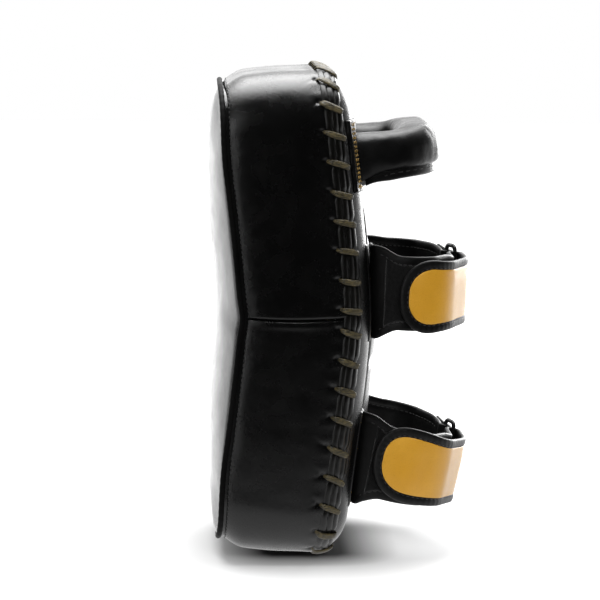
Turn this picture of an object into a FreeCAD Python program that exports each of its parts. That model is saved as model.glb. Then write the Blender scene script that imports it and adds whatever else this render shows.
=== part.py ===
"""Curved kick paddle: a bent, foam-filled leather pad that a trainer wears on the forearm to catch kicks.

Millimetres, +Z up.  The strike face looks along -Y, the forearm side along +Y, and the pad stands on its
lower end.  The pad is bent about an axis parallel to X in front of the strike face, so everything on it is
placed by a radius and an angle about that axis.  The origin is the middle of the bounding box's underside.
"""
import FreeCAD
import Part
import math
import os

V = FreeCAD.Vector
X_AXIS = V(1, 0, 0)
Z_AXIS = V(0, 0, 1)

# ---- pad body
SEAM_RADIUS = 1000.0        # bend radius at the seam between strike face and side wall
HALF_ANGLE = 10.4           # degrees from mid-height to either end
HALF_WIDTH = 100.0
CROWN = 17.0                # how far the strike face stands in front of its seam
WALL = 105.0                # seam to the outside of the back panel
CORNER = 40.0               # corner radius of the outline
FRONT_ROUND = 15.0
BACK_ROUND = 28.0
MIDDLE_RADIUS = SEAM_RADIUS + WALL / 2
BACK_RADIUS = SEAM_RADIUS + WALL
LEATHER = 2.2
GAP = 0.2                   # space left between neighbouring pieces
MARGIN = 20.0               # how far cutting shapes run past the pad
FAR = 200.0                 # larger than any strap
FOAM_SPLITS = (1022.0, 1078.0)
GUSSET_END = 1083.0         # where the side wall's leather meets the back panel's
PIPING_SIZE = 5.0
PIPING_PROUD = 2.6

# ---- lacing over the rounded back edge
WELT_RADII = (1079.0, 1098.0)
WELT_PROUD = 1.2
LACE_RADIUS = 1.7
LACE_COUNT = 46
LACE_SLANT = 4.0            # how far a stitch's back end lies behind its side end, along the edge
LACE_ANGLES = (6.0, 40.0)   # degrees round the back edge, from facing sideways

# ---- forearm cushion
CUSHION_HALF_WIDTH = 46.0
CUSHION_ANGLES = (-9.0, 4.5)
CUSHION_THICK = 10.0
CUSHION_CORNER = 16.0
CUSHION_ROUND = 6.0

# ---- handle
HANDLE_ANGLE = 6.7
HANDLE_SPREAD = 62.0        # leg centre from the middle
HANDLE_REACH = 51.0         # grip centre from the back panel
HANDLE_BEND = 27.0
HANDLE_RADIUS = 18.0
HANDLE_PADDING = 15.5
HANDLE_ROPE = 6.0
HANDLE_BINDING_BELOW = 3.2  # how far the binding stands below the cover
HANDLE_BINDING_WIDE = 5.0
HANDLE_BINDING_FROM = 6.0   # the binding starts this far above the handle's root

# ---- anchor patches sewn over the rounded back edge
ANCHOR_THICK = 2.4
ANCHOR_LOW_RADIUS = 1099.5
HANDLE_ANCHOR = (42.0, 28.0)   # inner edge from the middle, half height
STRAP_ANCHOR = (73.5, 38.0)

# ---- forearm straps, in each strap's own frame: x across, y away from the back panel, z along the strap's width
STRAP_THICK = 3.0
STRAP_HALF = 30.0
STRAP_SIDE = 69.0           # where a strap's root turns up from the back panel
STRAP_BULGE = 77.5          # half width of the loop at its widest
STRAP_LOW = 1.6             # centre of the root above the back panel
ROOT_INNER = 51.0
ROOT_HALF = 38.0
ROOT_FLARE = 26.0           # height over which the root narrows to the strap's width
RING_WIDTH_HALF = 27.0      # a strap narrows to this where it runs through the ring
RING_TAPER = (38.0, 12.0)   # how far below the top of the loop the narrowing starts and ends
LOOP_TOP = 69.2             # centre of the pull tab's sheet above the back panel, before a strap's own reach
TAB_HALF = 30.0
TAB_BINDING = 7.0
TAB_SHEET = 2.0
TAB_TOP_BULGE = 1.5
SHEET_TALL = 40.0           # half height of an uncut sheet, more than any tab's
BINDING_PROUD = 0.8         # how far the binding stands off each side of the tab's sheet
PATCH_THICK = 0.9
PATCH_GAP = 0.05
PILE_HEIGHTS = (16.0, 57.0)
HOOK_FROM = 20.0            # the hook patch starts this far across, clear of the ring
WIRE_RADIUS = 1.75
WIRE_BEND = 4.5
INNER_BAR_X = -21.0
INNER_BAR_DROP = 10.7       # each bar's centre lies this far below the top of the loop
OUTER_BAR_X = -6.0
OUTER_BAR_DROP = 5.2
RING_HALF_HEIGHT = 31.5
FOLD_RADIUS = 5.2
KEEPER_RADIUS = 4.0
KEEPER_THICK = 2.0
STRAP_FOLD = (200.0, 270.0)  # angles round the outer bar that the near strap and the tab cover
TAB_FOLD = (90.0, 112.0)
KEEPER_WRAP = (-90.0, 110.0)  # angles round the inner bar that the keeper covers
DROOP_PIVOT = 10.0          # height above the back panel at which a strap starts to droop
# name: angle on the pad, droop and tab tilt in degrees, extra reach, height of the pull tab's tip
STRAPS = {"upper": (0.95, -3.0, -2.0, 13.0, 27.0), "lower": (-6.05, -5.5, 4.5, 17.0, 13.0)}

parts = {}


# ------------------------------------------------------------------ pad body
def bent_slab(half_width, low, high, half_angle):
    """A slab between two radii, bent about the X axis, with flat sides and flat radial ends."""
    corners = [V(-half_width, low, 0), V(half_width, low, 0), V(half_width, high, 0), V(-half_width, high, 0)]
    face = Part.Face(Part.makePolygon(corners + corners[:1]))
    face.rotate(V(0, 0, 0), X_AXIS, -half_angle)
    return face.revolve(V(0, 0, 0), X_AXIS, 2 * half_angle)


def radius_of(point):
    return math.hypot(point.y, point.z)


def body_block(inset):
    """The whole pad's outer form, drawn in by inset on every side."""
    low = SEAM_RADIUS - CROWN + inset
    high = BACK_RADIUS - inset
    half_angle = HALF_ANGLE - math.degrees(inset / MIDDLE_RADIUS)
    block = bent_slab(HALF_WIDTH - inset, low, high, half_angle)
    uprights = [e for e in block.Edges if abs(radius_of(e.Vertexes[0].Point) - radius_of(e.Vertexes[-1].Point)) > 1]
    block = block.makeFillet(CORNER - inset, uprights)
    for edge_radius, round_radius in ((low, FRONT_ROUND - inset), (high, BACK_ROUND - inset)):
        rim = [e for e in block.Edges if all(abs(radius_of(v.Point) - edge_radius) < 0.01 for v in e.Vertexes)]
        block = block.makeFillet(round_radius, rim)
    return block


def layer(low, high):
    """Everything between two bend radii."""
    return bent_slab(2 * HALF_WIDTH, low, high, 2 * HALF_ANGLE)


def outline_point(distance, inset):
    """Walks the pad's outline at the back radius; returns x, the distance up the arc, and the outward normal."""
    half_x = HALF_WIDTH - CORNER
    half_v = math.radians(HALF_ANGLE) * (BACK_RADIUS - BACK_ROUND) - CORNER
    quarter = CORNER * math.pi / 2
    legs = [(2 * half_v, 0), (quarter, 1), (2 * half_x, 2), (quarter, 3),
            (2 * half_v, 4), (quarter, 5), (2 * half_x, 6), (quarter, 7)]
    total = sum(leg for leg, _ in legs)
    distance %= total
    centres = {1: (half_x, half_v, 0), 3: (-half_x, half_v, 90), 5: (-half_x, -half_v, 180), 7: (half_x, -half_v, 270)}
    for length, kind in legs:
        if distance <= length:
            break
        distance -= length
    if kind in centres:
        cx, cv, first = centres[kind]
        turn = math.radians(first) + distance / CORNER
        nx, nv = math.cos(turn), math.sin(turn)
        return cx + (CORNER - inset) * nx, cv + (CORNER - inset) * nv, nx, nv
    nx, nv = {0: (1, 0), 2: (0, 1), 4: (-1, 0), 6: (0, -1)}[kind]
    along = distance - length / 2
    x = nx * (half_x + CORNER - inset) - nv * along
    v = nv * (half_v + CORNER - inset) + nx * along
    return x, v, nx, nv


def outline_length():
    half_x = HALF_WIDTH - CORNER
    half_v = math.radians(HALF_ANGLE) * (BACK_RADIUS - BACK_ROUND) - CORNER
    return 4 * half_x + 4 * half_v + 2 * math.pi * CORNER


def edge_point(distance, around, lift):
    """A point over the rounded back edge: around is 0 facing sideways and 90 facing backwards."""
    reach = BACK_ROUND + lift
    inset = BACK_ROUND - reach * math.cos(math.radians(around))
    radius = BACK_RADIUS - BACK_ROUND + reach * math.sin(math.radians(around))
    x, v, _, _ = outline_point(distance, inset)
    turn = v / (BACK_RADIUS - BACK_ROUND)
    return V(x, radius * math.cos(turn), radius * math.sin(turn))


def build_body():
    outer = body_block(0)
    lining = body_block(LEATHER)
    filling = body_block(LEATHER + GAP)
    shell = outer.cut(lining)
    far = BACK_RADIUS + MARGIN
    near = SEAM_RADIUS - CROWN - MARGIN
    half_piping = PIPING_SIZE / 2 + GAP
    parts["strike_panel"] = shell.common(layer(near, SEAM_RADIUS - half_piping))
    parts["back_panel"] = shell.common(layer(GUSSET_END + GAP, far))
    side_wall = shell.common(layer(SEAM_RADIUS + half_piping, GUSSET_END))
    upper = Part.makeBox(4 * HALF_WIDTH, far, far, V(-2 * HALF_WIDTH, 0, GAP))
    parts["upper_side_wall"] = side_wall.common(upper)
    parts["lower_side_wall"] = side_wall.common(upper.mirror(V(0, 0, 0), Z_AXIS))
    piping = body_block(-PIPING_PROUD).cut(lining)
    parts["face_piping"] = piping.common(layer(SEAM_RADIUS - PIPING_SIZE / 2, SEAM_RADIUS + PIPING_SIZE / 2))
    parts["lace_welt"] = body_block(-WELT_PROUD).cut(body_block(-GAP / 2)).common(layer(*WELT_RADII))
    first, second = FOAM_SPLITS
    parts["face_foam"] = filling.common(layer(near, first))
    parts["core_foam"] = filling.common(layer(first + GAP, second))
    parts["back_foam"] = filling.common(layer(second + GAP, far))


def build_lacing():
    """Stitches that arch over the welt, each its own solid."""
    stitches = []
    step = outline_length() / LACE_COUNT
    lift = WELT_PROUD + LACE_RADIUS + GAP
    first, last = LACE_ANGLES
    for i in range(LACE_COUNT):
        start = edge_point(i * step, first, lift)
        middle = edge_point(i * step - LACE_SLANT / 2, (first + last) / 2, lift)
        end = edge_point(i * step - LACE_SLANT, last, lift)
        route = Part.Wire(Part.Arc(start, middle, end).toShape())
        tangent = route.Edges[0].tangentAt(route.Edges[0].FirstParameter)
        profile = Part.Wire(Part.makeCircle(LACE_RADIUS, start, tangent))
        stitches.append(route.makePipeShell([profile], True, False))
    parts["edge_lacing"] = Part.makeCompound(stitches)


def build_cushion():
    low, high = CUSHION_ANGLES
    low_radius = BACK_RADIUS + GAP
    slab = bent_slab(CUSHION_HALF_WIDTH, low_radius, low_radius + CUSHION_THICK, (high - low) / 2)
    slab.rotate(V(0, 0, 0), X_AXIS, (high + low) / 2)
    outer_radius = low_radius + CUSHION_THICK
    uprights = [e for e in slab.Edges if abs(radius_of(e.Vertexes[0].Point) - radius_of(e.Vertexes[-1].Point)) > 1]
    slab = slab.makeFillet(CUSHION_CORNER, uprights)
    rim = [e for e in slab.Edges if all(abs(radius_of(v.Point) - outer_radius) < 0.01 for v in e.Vertexes)]
    parts["forearm_cushion"] = slab.makeFillet(CUSHION_ROUND, rim)


# ------------------------------------------------------------------ things on the back panel
def on_back(shape, angle, droop=0.0):
    """Puts a shape drawn on the plane y = 0 onto the back panel at an angle, after drooping it by more degrees."""
    placed = shape.copy()
    placed.rotate(V(0, DROOP_PIVOT, 0), X_AXIS, droop)
    placed.translate(V(0, BACK_RADIUS + GAP, 0))
    placed.rotate(V(0, 0, 0), X_AXIS, angle)
    return placed


def anchor_patch(side, inner_x, half_height, angle):
    """A leather patch that follows the back panel's rounded edge, from inner_x outwards to the lacing."""
    skin = body_block(-ANCHOR_THICK).cut(body_block(-GAP / 2))
    deep = 60
    start_x = inner_x if side > 0 else -inner_x - deep
    window = Part.makeBox(deep, deep, 2 * half_height, V(start_x, -40, -half_height))
    return skin.common(layer(ANCHOR_LOW_RADIUS, BACK_RADIUS + MARGIN)).common(on_back(window, angle))


def handle_tube(radius, floor):
    """The grip's U-shaped tube, its legs cut off at a floor height."""
    turn = HANDLE_REACH - HANDLE_BEND
    span = HANDLE_SPREAD - HANDLE_BEND
    pieces = [Part.makeCylinder(radius, 2 * span, V(-span, HANDLE_REACH, 0), X_AXIS)]
    for side in (1, -1):
        x = side * HANDLE_SPREAD
        pieces.append(Part.makeCylinder(radius, turn - floor, V(x, floor, 0), V(0, 1, 0)))
        section = Part.Face(Part.Wire(Part.makeCircle(radius, V(x, turn, 0), V(0, 1, 0))))
        pieces.append(section.revolve(V(side * span, turn, 0), Z_AXIS, side * 90))
    return pieces[0].multiFuse(pieces[1:]).removeSplitter()


def build_handle():
    floor = ANCHOR_THICK + GAP
    padding = handle_tube(HANDLE_PADDING, floor)
    parts["handle_rope"] = on_back(handle_tube(HANDLE_ROPE, floor), HANDLE_ANGLE)
    parts["handle_padding"] = on_back(padding.cut(handle_tube(HANDLE_ROPE + GAP / 2, 0)), HANDLE_ANGLE)
    cover = handle_tube(HANDLE_RADIUS, floor).cut(handle_tube(HANDLE_PADDING + GAP / 2, 0))
    parts["handle_cover"] = on_back(cover, HANDLE_ANGLE)
    strip = handle_tube(HANDLE_RADIUS + HANDLE_BINDING_BELOW, floor + HANDLE_BINDING_FROM).cut(handle_tube(HANDLE_RADIUS + GAP, 0))
    below = Part.makeBox(2 * FAR, 2 * FAR, FAR, V(-FAR, -FAR / 2, HANDLE_BINDING_WIDE - HANDLE_RADIUS - FAR))
    parts["handle_binding"] = on_back(strip.common(below), HANDLE_ANGLE)
    for name, side in (("near", 1), ("far", -1)):
        parts["handle_anchor_" + name] = anchor_patch(side, *HANDLE_ANCHOR, HANDLE_ANGLE)


# ------------------------------------------------------------------ forearm straps
def path_wire(points, radii):
    """Straight runs joined by tangent arcs: radii holds one radius per inner corner."""
    edges, start = [], points[0]
    for i, radius in enumerate(radii):
        corner = points[i + 1]
        back = (points[i] - corner).normalize()
        ahead = (points[i + 2] - corner).normalize()
        half = back.getAngle(ahead) / 2
        run = radius / math.tan(half)
        enter, leave = corner + back * run, corner + ahead * run
        middle = corner + (back + ahead).normalize() * (radius / math.sin(half) - radius)
        if start.distanceToPoint(enter) > 0.01:
            edges.append(Part.makeLine(start, enter))
        edges.append(Part.Arc(enter, middle, leave).toShape())
        start = leave
    edges.append(Part.makeLine(start, points[-1]))
    return Part.Wire(edges)


def band(wire, thickness, half_height, shift=0.0):
    """A sheet of a thickness that follows a flat path, as tall as two half heights; shift moves it off the path."""
    if shift:
        wire = wire.makeOffset2D(shift, 0, False, True)
    face = wire.makeOffset2D(thickness, 0, True, True)
    solid = face.extrude(V(0, 0, 2 * half_height))
    solid.translate(V(0, 0, -half_height))
    return solid


def side_profile(points):
    """A prism along X with an outline given as (y, z) pairs."""
    corners = [V(-FAR, y, z) for y, z in points]
    return Part.Face(Part.makePolygon(corners + corners[:1])).extrude(V(2 * FAR, 0, 0))


def inner_bar(top):
    return V(INNER_BAR_X, top - INNER_BAR_DROP, 0)


def outer_bar(top):
    return V(OUTER_BAR_X, top - OUTER_BAR_DROP, 0)


def loop_path(side, under, end_x):
    """Middle of a strap, from its root on the back panel, up one side and in to a bar of the ring."""
    root_bend, low_bend, high_bend, top_bend = 6, 24, 20, 34
    corners = [(ROOT_INNER, STRAP_LOW), (STRAP_SIDE, STRAP_LOW), (STRAP_BULGE, under - 36.5),
               (STRAP_BULGE - 7.5, under - 19.5), (34, under)]
    bends = [root_bend, low_bend, high_bend, top_bend]
    return path_wire([V(side * x, y, 0) for x, y in corners] + [V(end_x, under, 0)], bends)


def near_path(top):
    return loop_path(1, outer_bar(top).y - FOLD_RADIUS, OUTER_BAR_X)


def far_path(top):
    return loop_path(-1, inner_bar(top).y - KEEPER_RADIUS, INNER_BAR_X)


def tab_path(top):
    """Middle of the pull tab, from the ring's outer bar back over the near strap."""
    over = outer_bar(top).y + FOLD_RADIUS
    top_bend, high_bend, low_bend = 50, 28, 34
    corners = [(OUTER_BAR_X, over), (32, over + TAB_TOP_BULGE), (77, over - 22), (86, over - 43), (79, -4)]
    return path_wire([V(x, y, 0) for x, y in corners], [top_bend, high_bend, low_bend])


def strap_profile(top):
    """Side outline of a strap: wide at the root, then even, then narrow where it runs through the ring."""
    low, high = (top - drop for drop in RING_TAPER)
    right = [(-5, ROOT_HALF), (4, ROOT_HALF), (ROOT_FLARE, STRAP_HALF), (low, STRAP_HALF),
             (high, RING_WIDTH_HALF), (FAR, RING_WIDTH_HALF)]
    return side_profile(right + [(y, -z) for y, z in reversed(right)])


def tab_profile(top, tip, tilt, inset):
    """Side outline of the pull tab: a rounded tip, an even width and a narrower neck, drawn in by inset."""
    low, high = (top - drop for drop in RING_TAPER)
    centre = tip + TAB_HALF
    wide, narrow = TAB_HALF - inset, RING_WIDTH_HALF - inset
    right = [(centre, wide), (max(low, centre + 1), wide), (high, narrow), (FAR, narrow)]
    outline = side_profile(right + [(y, -z) for y, z in reversed(right)])
    outline = outline.fuse(Part.makeCylinder(wide, 2 * FAR, V(-FAR, centre, 0), X_AXIS)).removeSplitter()
    outline.rotate(V(0, top, 0), X_AXIS, -tilt)
    return outline


def arc_sheet(centre, radius, thickness, first, last, half_height):
    """Part of a tube wall round a bar: a sheet of a thickness bent between two angles in degrees."""
    outer = Part.makeCylinder(radius + thickness / 2, 2 * half_height, centre - Z_AXIS * half_height, Z_AXIS,
                              last - first)
    outer.rotate(centre, Z_AXIS, first)
    return outer.cut(Part.makeCylinder(radius - thickness / 2, 2 * FAR, centre - Z_AXIS * FAR, Z_AXIS))


def make_ring(top):
    """A rounded rectangle of wire with one bar in each strap."""
    across = outer_bar(top) - inner_bar(top)
    half = RING_HALF_HEIGHT
    width = across.Length
    corners = [V(0, 0, -half), V(width, 0, -half), V(width, 0, half), V(0, 0, half)]
    middle = V(width / 2, 0, -half)
    wire = path_wire([middle] + corners[1:] + corners[:1] + [middle], [WIRE_BEND] * 4)
    profile = Part.Wire(Part.makeCircle(WIRE_RADIUS, middle, X_AXIS))
    ring = wire.makePipeShell([profile], True, False)
    ring.rotate(V(0, 0, 0), Z_AXIS, math.degrees(across.getAngle(X_AXIS)))
    ring.translate(inner_bar(top))
    return ring


def sewn_pieces(top):
    """The near strap, which folds round the ring's outer bar, and the far strap, whose keeper holds the inner bar."""
    half = STRAP_THICK / 2
    profile = strap_profile(top)
    near = band(near_path(top), STRAP_THICK, ROOT_HALF, -half).common(profile)
    turn = arc_sheet(outer_bar(top), FOLD_RADIUS, STRAP_THICK, *STRAP_FOLD, RING_WIDTH_HALF)

    bar = inner_bar(top)
    far = band(far_path(top), STRAP_THICK, ROOT_HALF, -half).common(profile)
    keeper = arc_sheet(bar, KEEPER_RADIUS, KEEPER_THICK, *KEEPER_WRAP, RING_WIDTH_HALF)
    slot = Part.makeBox(16, 40, 2 * FAR, V(bar.x - 10, bar.y - 30, -FAR))
    thin = band(far_path(top), KEEPER_THICK, RING_WIDTH_HALF, -KEEPER_THICK / 2).common(slot)
    return {"strap": near.fuse(turn), "ring_strap": far.cut(slot).fuse([thin, keeper])}


def tab_pieces(top, tip, tilt):
    """The pull tab's carrier sheet, its bound edge, its coloured face and its hook patch."""
    route = tab_path(top)
    outside, inside, gap_inside = (tab_profile(top, tip, tilt, inset) for inset in
                                   (0, TAB_BINDING, TAB_BINDING + GAP))
    half = TAB_SHEET / 2
    inner_half = RING_WIDTH_HALF - TAB_BINDING - GAP
    turn = arc_sheet(outer_bar(top), FOLD_RADIUS, TAB_SHEET, *TAB_FOLD, inner_half)
    carrier = band(route, TAB_SHEET, SHEET_TALL, -half).common(gap_inside)
    rim = band(route, TAB_SHEET + 2 * BINDING_PROUD, SHEET_TALL, -half - BINDING_PROUD)
    outer = band(route, PATCH_THICK, SHEET_TALL, half + PATCH_GAP)
    inner = band(route, PATCH_THICK, SHEET_TALL, -half - PATCH_GAP - PATCH_THICK)
    beyond_ring = Part.makeBox(FAR, FAR, FAR, V(HOOK_FROM, 0, -FAR / 2))
    return {"pull_tab": carrier.fuse(turn).removeSplitter(),
            "tab_binding": rim.common(outside).cut(inside),
            "tab_face": outer.common(gap_inside),
            "hook_patch": inner.common(gap_inside).common(beyond_ring)}


def pile_patch(top):
    """Loop pile on the outside of the near strap, under the pull tab."""
    sheet = band(near_path(top), PATCH_THICK, STRAP_HALF - 5, -STRAP_THICK / 2 - PATCH_GAP - PATCH_THICK)
    low, high = PILE_HEIGHTS
    return sheet.common(Part.makeBox(FAR, high - low, FAR, V(HOOK_FROM, low, -FAR / 2)))


def drooped(shape, angle, droop):
    """A sewn strap whose root lies flat on the back panel and whose loop droops."""
    foot_top, loop_bottom = 12, 6
    foot = Part.makeBox(2 * FAR, foot_top + FAR, 2 * FAR, V(-FAR, -FAR, -FAR))
    loop = Part.makeBox(2 * FAR, FAR, 2 * FAR, V(-FAR, loop_bottom, -FAR))
    joined = on_back(shape.common(foot), angle).fuse(on_back(shape.common(loop), angle, droop))
    return joined.removeSplitter()


def build_straps():
    for name, (angle, droop, tilt, reach, tip) in STRAPS.items():
        top = LOOP_TOP + reach
        for piece, shape in sewn_pieces(top).items():
            parts[f"{name}_{piece}"] = drooped(shape, angle, droop)
        loose = {"ring": make_ring(top), "pile_patch": pile_patch(top)}
        loose.update(tab_pieces(top, tip, tilt))
        for piece, shape in loose.items():
            parts[f"{name}_{piece}"] = on_back(shape, angle, droop)
        for anchor, side in (("near", 1), ("far", -1)):
            parts[f"{name}_anchor_{anchor}"] = anchor_patch(side, *STRAP_ANCHOR, angle)


# ------------------------------------------------------------------ write
build_body()
build_lacing()
build_cushion()
build_handle()
build_straps()
whole = Part.makeCompound(list(parts.values())).optimalBoundingBox(False, False)
home = V(-(whole.XMin + whole.XMax) / 2, -(whole.YMin + whole.YMax) / 2, -whole.ZMin)
os.makedirs("parts", exist_ok=True)
for name, shape in parts.items():
    shape.translate(home)
    print(name, len(shape.Solids), shape.isValid(), round(shape.Volume / 1000, 2), "cm3")
    shape.exportStep(f"parts/{name}.step")
print("home", home)
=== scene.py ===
"""Looks of a curved kick paddle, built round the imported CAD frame.

Metres, in the CAD's own frame.  The pad is bent about an axis parallel to X in front of its strike face.
Most pieces are drawn flat and then bent: x across, v up the arc, r the distance from the bend axis.
"""
import math

import bmesh
import bpy
import numpy as np
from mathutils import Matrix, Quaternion, Vector, noise


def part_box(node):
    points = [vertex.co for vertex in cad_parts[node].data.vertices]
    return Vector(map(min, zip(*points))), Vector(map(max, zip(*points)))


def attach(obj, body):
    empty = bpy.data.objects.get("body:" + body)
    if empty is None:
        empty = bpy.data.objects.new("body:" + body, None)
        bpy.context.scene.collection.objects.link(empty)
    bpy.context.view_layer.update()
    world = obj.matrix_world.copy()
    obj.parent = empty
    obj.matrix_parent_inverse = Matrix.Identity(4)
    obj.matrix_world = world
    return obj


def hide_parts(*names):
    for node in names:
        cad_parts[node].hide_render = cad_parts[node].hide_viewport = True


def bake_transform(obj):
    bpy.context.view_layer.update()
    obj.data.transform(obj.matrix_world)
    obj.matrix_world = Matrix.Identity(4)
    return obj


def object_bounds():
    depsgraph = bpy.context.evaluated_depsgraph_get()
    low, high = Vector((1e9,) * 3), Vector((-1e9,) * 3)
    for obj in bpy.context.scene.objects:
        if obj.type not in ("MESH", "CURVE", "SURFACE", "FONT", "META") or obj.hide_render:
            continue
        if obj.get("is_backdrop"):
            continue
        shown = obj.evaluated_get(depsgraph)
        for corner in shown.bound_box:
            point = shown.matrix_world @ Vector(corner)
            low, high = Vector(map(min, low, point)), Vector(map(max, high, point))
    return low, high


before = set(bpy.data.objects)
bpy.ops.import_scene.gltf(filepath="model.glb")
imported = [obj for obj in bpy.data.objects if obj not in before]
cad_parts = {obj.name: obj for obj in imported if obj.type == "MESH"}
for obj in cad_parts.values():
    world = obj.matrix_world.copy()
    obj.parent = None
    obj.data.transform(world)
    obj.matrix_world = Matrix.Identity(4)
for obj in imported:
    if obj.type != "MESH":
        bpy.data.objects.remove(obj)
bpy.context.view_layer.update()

MM = 0.001

# ---- driving sizes, the same as the CAD model's
SEAM_RADIUS = 1000 * MM
BACK_RADIUS = 1105 * MM
BACK_ROUND = 28 * MM
HALF_ANGLE = math.radians(10.4)
HALF_WIDTH = 100 * MM
CORNER = 40 * MM
ROUND_RADIUS = BACK_RADIUS - BACK_ROUND     # bend radius at the centre of the rounded back edge
HANDLE_ANGLE = math.radians(6.7)
STRAP_THICK = 3.0 * MM
STRAP_HALF = 30 * MM
ROOT_HALF = 38 * MM
FAR_ROOT_HALF = 32 * MM
ROOT_FLARE = 26 * MM
RING_WIDTH_HALF = 27 * MM                   # straps and tabs narrow to this at the ring
TAB_HALF = 30 * MM
LOOP_TOP = 69.2 * MM                        # pull tab's middle off the back panel, before a strap's own reach
FOLD_RADIUS = 5.2 * MM
KEEPER_RADIUS = 4.0 * MM
INNER_BAR = np.array([-21.0, -10.7]) * MM   # the ring's bars, measured from the top of the loop
OUTER_BAR = np.array([-6.0, -5.2]) * MM
DROOP_PIVOT = 10 * MM                       # a strap's loop droops about a line this far off the back panel
LIFT = 0.2 * MM                             # the strap frames stand this far off the back panel
# name: angle on the pad, droop, tilt of the tab, extra reach, height of the tab's tip
STRAPS = {"upper": (math.radians(0.95), math.radians(-3.0), math.radians(-2.0), 13 * MM, 27 * MM),
          "lower": (math.radians(-6.05), math.radians(-5.5), math.radians(4.5), 17 * MM, 13 * MM)}

# ---- where the bend axis is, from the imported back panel
back_low, back_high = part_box("back_panel")
AXIS_Y = back_high.y - BACK_RADIUS
AXIS_Z = (back_low.z + back_high.z) / 2
HALF_X = HALF_WIDTH - CORNER                # half the outline's straight runs, across and up the arc
HALF_V = HALF_ANGLE * ROUND_RADIUS - CORNER
OUTLINE = 4 * HALF_X + 4 * HALF_V + 2 * math.pi * CORNER

# ---- how the worn-in pad departs from a plain arc
MIDDLE_SHARPER = 3.7 * MM                   # the pad lies this far back at mid-height
ENDS_STRAIGHTER = 1.2 * MM                  # and this far forward towards its ends
END_DRAWN_IN = 4.5 * MM                     # the ends' front edges lie this far in towards mid-height
END_SET_BACK = 3.5 * MM                     # and this far back
END_TILT = math.tan(math.radians(4.6))      # the ends stand squarer to the floor than the arc's radii
TILT_RADIUS = SEAM_RADIUS + 77 * MM         # the ends turn about this distance from the bend axis


# ---------------- bending and outlines
def settled(v):
    """How far back the worn-in pad lies from a plain arc."""
    away = np.abs(v)
    return MIDDLE_SHARPER * bell(away, 55 * MM) - ENDS_STRAIGHTER * bell(away - 140 * MM, 50 * MM)


def bend(x, v, r):
    """Flat (x, v, r) to the row frame, with the pad's ends squared up."""
    x, v, r = np.broadcast_arrays(x, v, r)
    end = smoothstep(np.abs(v), 145 * MM, 192 * MM)
    drawn_in = END_DRAWN_IN * end * (1 - smoothstep(r, SEAM_RADIUS, SEAM_RADIUS + 24 * MM))
    turn = (v - np.sign(v) * drawn_in) / ROUND_RADIUS
    square = np.sign(v) * end * (r - TILT_RADIUS) * END_TILT
    near_front = 1 - smoothstep(r, SEAM_RADIUS, SEAM_RADIUS + 40 * MM)
    back = END_SET_BACK * smoothstep(np.abs(v), 120 * MM, 196 * MM) * near_front
    y = AXIS_Y + r * np.cos(turn) + settled(v) + back
    return np.stack([x, y, AXIS_Z + r * np.sin(turn) - square], -1)


def outline(distance, inset):
    """x and v at a distance round the pad's rounded rectangle, drawn in by inset, and the outward normal."""
    distance, inset = np.broadcast_arrays(np.mod(distance, OUTLINE), inset)
    quarter = CORNER * math.pi / 2
    legs = [2 * HALF_V, quarter, 2 * HALF_X, quarter] * 2
    corners = [(HALF_X, HALF_V), (-HALF_X, HALF_V), (-HALF_X, -HALF_V), (HALF_X, -HALF_V)]
    normals = [(1, 0), (0, 1), (-1, 0), (0, -1)]
    x, v, nx, nv = (np.zeros(distance.shape) for _ in range(4))
    start = 0.0
    for i, length in enumerate(legs):
        on = (distance >= start) & (distance <= start + length)
        along = distance[on] - start
        cx, cv = corners[i // 2]
        if i % 2:
            turn = math.pi / 2 * (i // 2) + along / CORNER
            lx, lv = np.cos(turn), np.sin(turn)
            px, pv = cx + lx * (CORNER - inset[on]), cv + lv * (CORNER - inset[on])
        else:
            lx, lv = (np.full(along.shape, float(k)) for k in normals[i // 2])
            px = cx + lx * (CORNER - inset[on]) + lv * (length - along)
            pv = cv + lv * (CORNER - inset[on]) - lx * (length - along)
        x[on], v[on], nx[on], nv[on] = px, pv, lx, lv
        start += length
    return x, v, nx, nv


def over_edge(distance, around, lift):
    """A point over the rounded back edge: around is 0 facing sideways and a quarter turn facing backwards."""
    reach = BACK_ROUND + lift
    x, v, _, _ = outline(distance, BACK_ROUND - reach * np.cos(around))
    return bend(x, v, ROUND_RADIUS + reach * np.sin(around))


def on_back(x, v, lift):
    """Unrolled x and v on the back panel, over its rounded sides, lifted off the leather."""
    flat = HALF_WIDTH - BACK_ROUND
    beyond = np.maximum(np.abs(x) - flat, 0) / BACK_ROUND
    out = np.minimum(np.abs(x), flat) + (BACK_ROUND + lift) * np.sin(beyond)
    r = np.where(beyond > 0, ROUND_RADIUS + (BACK_ROUND + lift) * np.cos(beyond), BACK_RADIUS + lift)
    return bend(np.sign(x) * out, v, r)


def smoothstep(t, low, high):
    t = np.clip((t - low) / (high - low), 0, 1)
    return t * t * (3 - 2 * t)


def bell(t, width):
    """One at zero, falling away smoothly on both sides."""
    return np.exp(-(t / width) ** 2)


def rounding(edge, radius):
    """Zero at an edge, rising in a quarter circle to one at radius from it."""
    return np.sqrt(np.clip(1 - np.clip(1 - edge / radius, 0, 1) ** 2, 0, 1))


def powered(t, power):
    """t to a power, keeping its sign."""
    return np.sign(t) * np.abs(t) ** power


def full_turn(sides):
    """Evenly spaced angles once round."""
    return np.arange(sides) * 2 * math.pi / sides


def travelled(points):
    """Distance along a line of points, at each of them."""
    return np.concatenate([[0], np.cumsum(np.linalg.norm(np.diff(points, axis=0), axis=1))])


def level(x, v):
    """Flat x and v as points at height zero."""
    return np.stack([x, v, np.zeros_like(x)], -1)


def ripple(points, scale, depth):
    """Smooth unevenness: one noise value per point."""
    flat = points.reshape(-1, 3) * scale
    values = [noise.noise(Vector(p)) for p in flat]
    return np.array(values).reshape(points.shape[:-1]) * depth


# ---------------- mesh building
MERGE = 0.02 * MM                           # points closer than this become one


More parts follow.
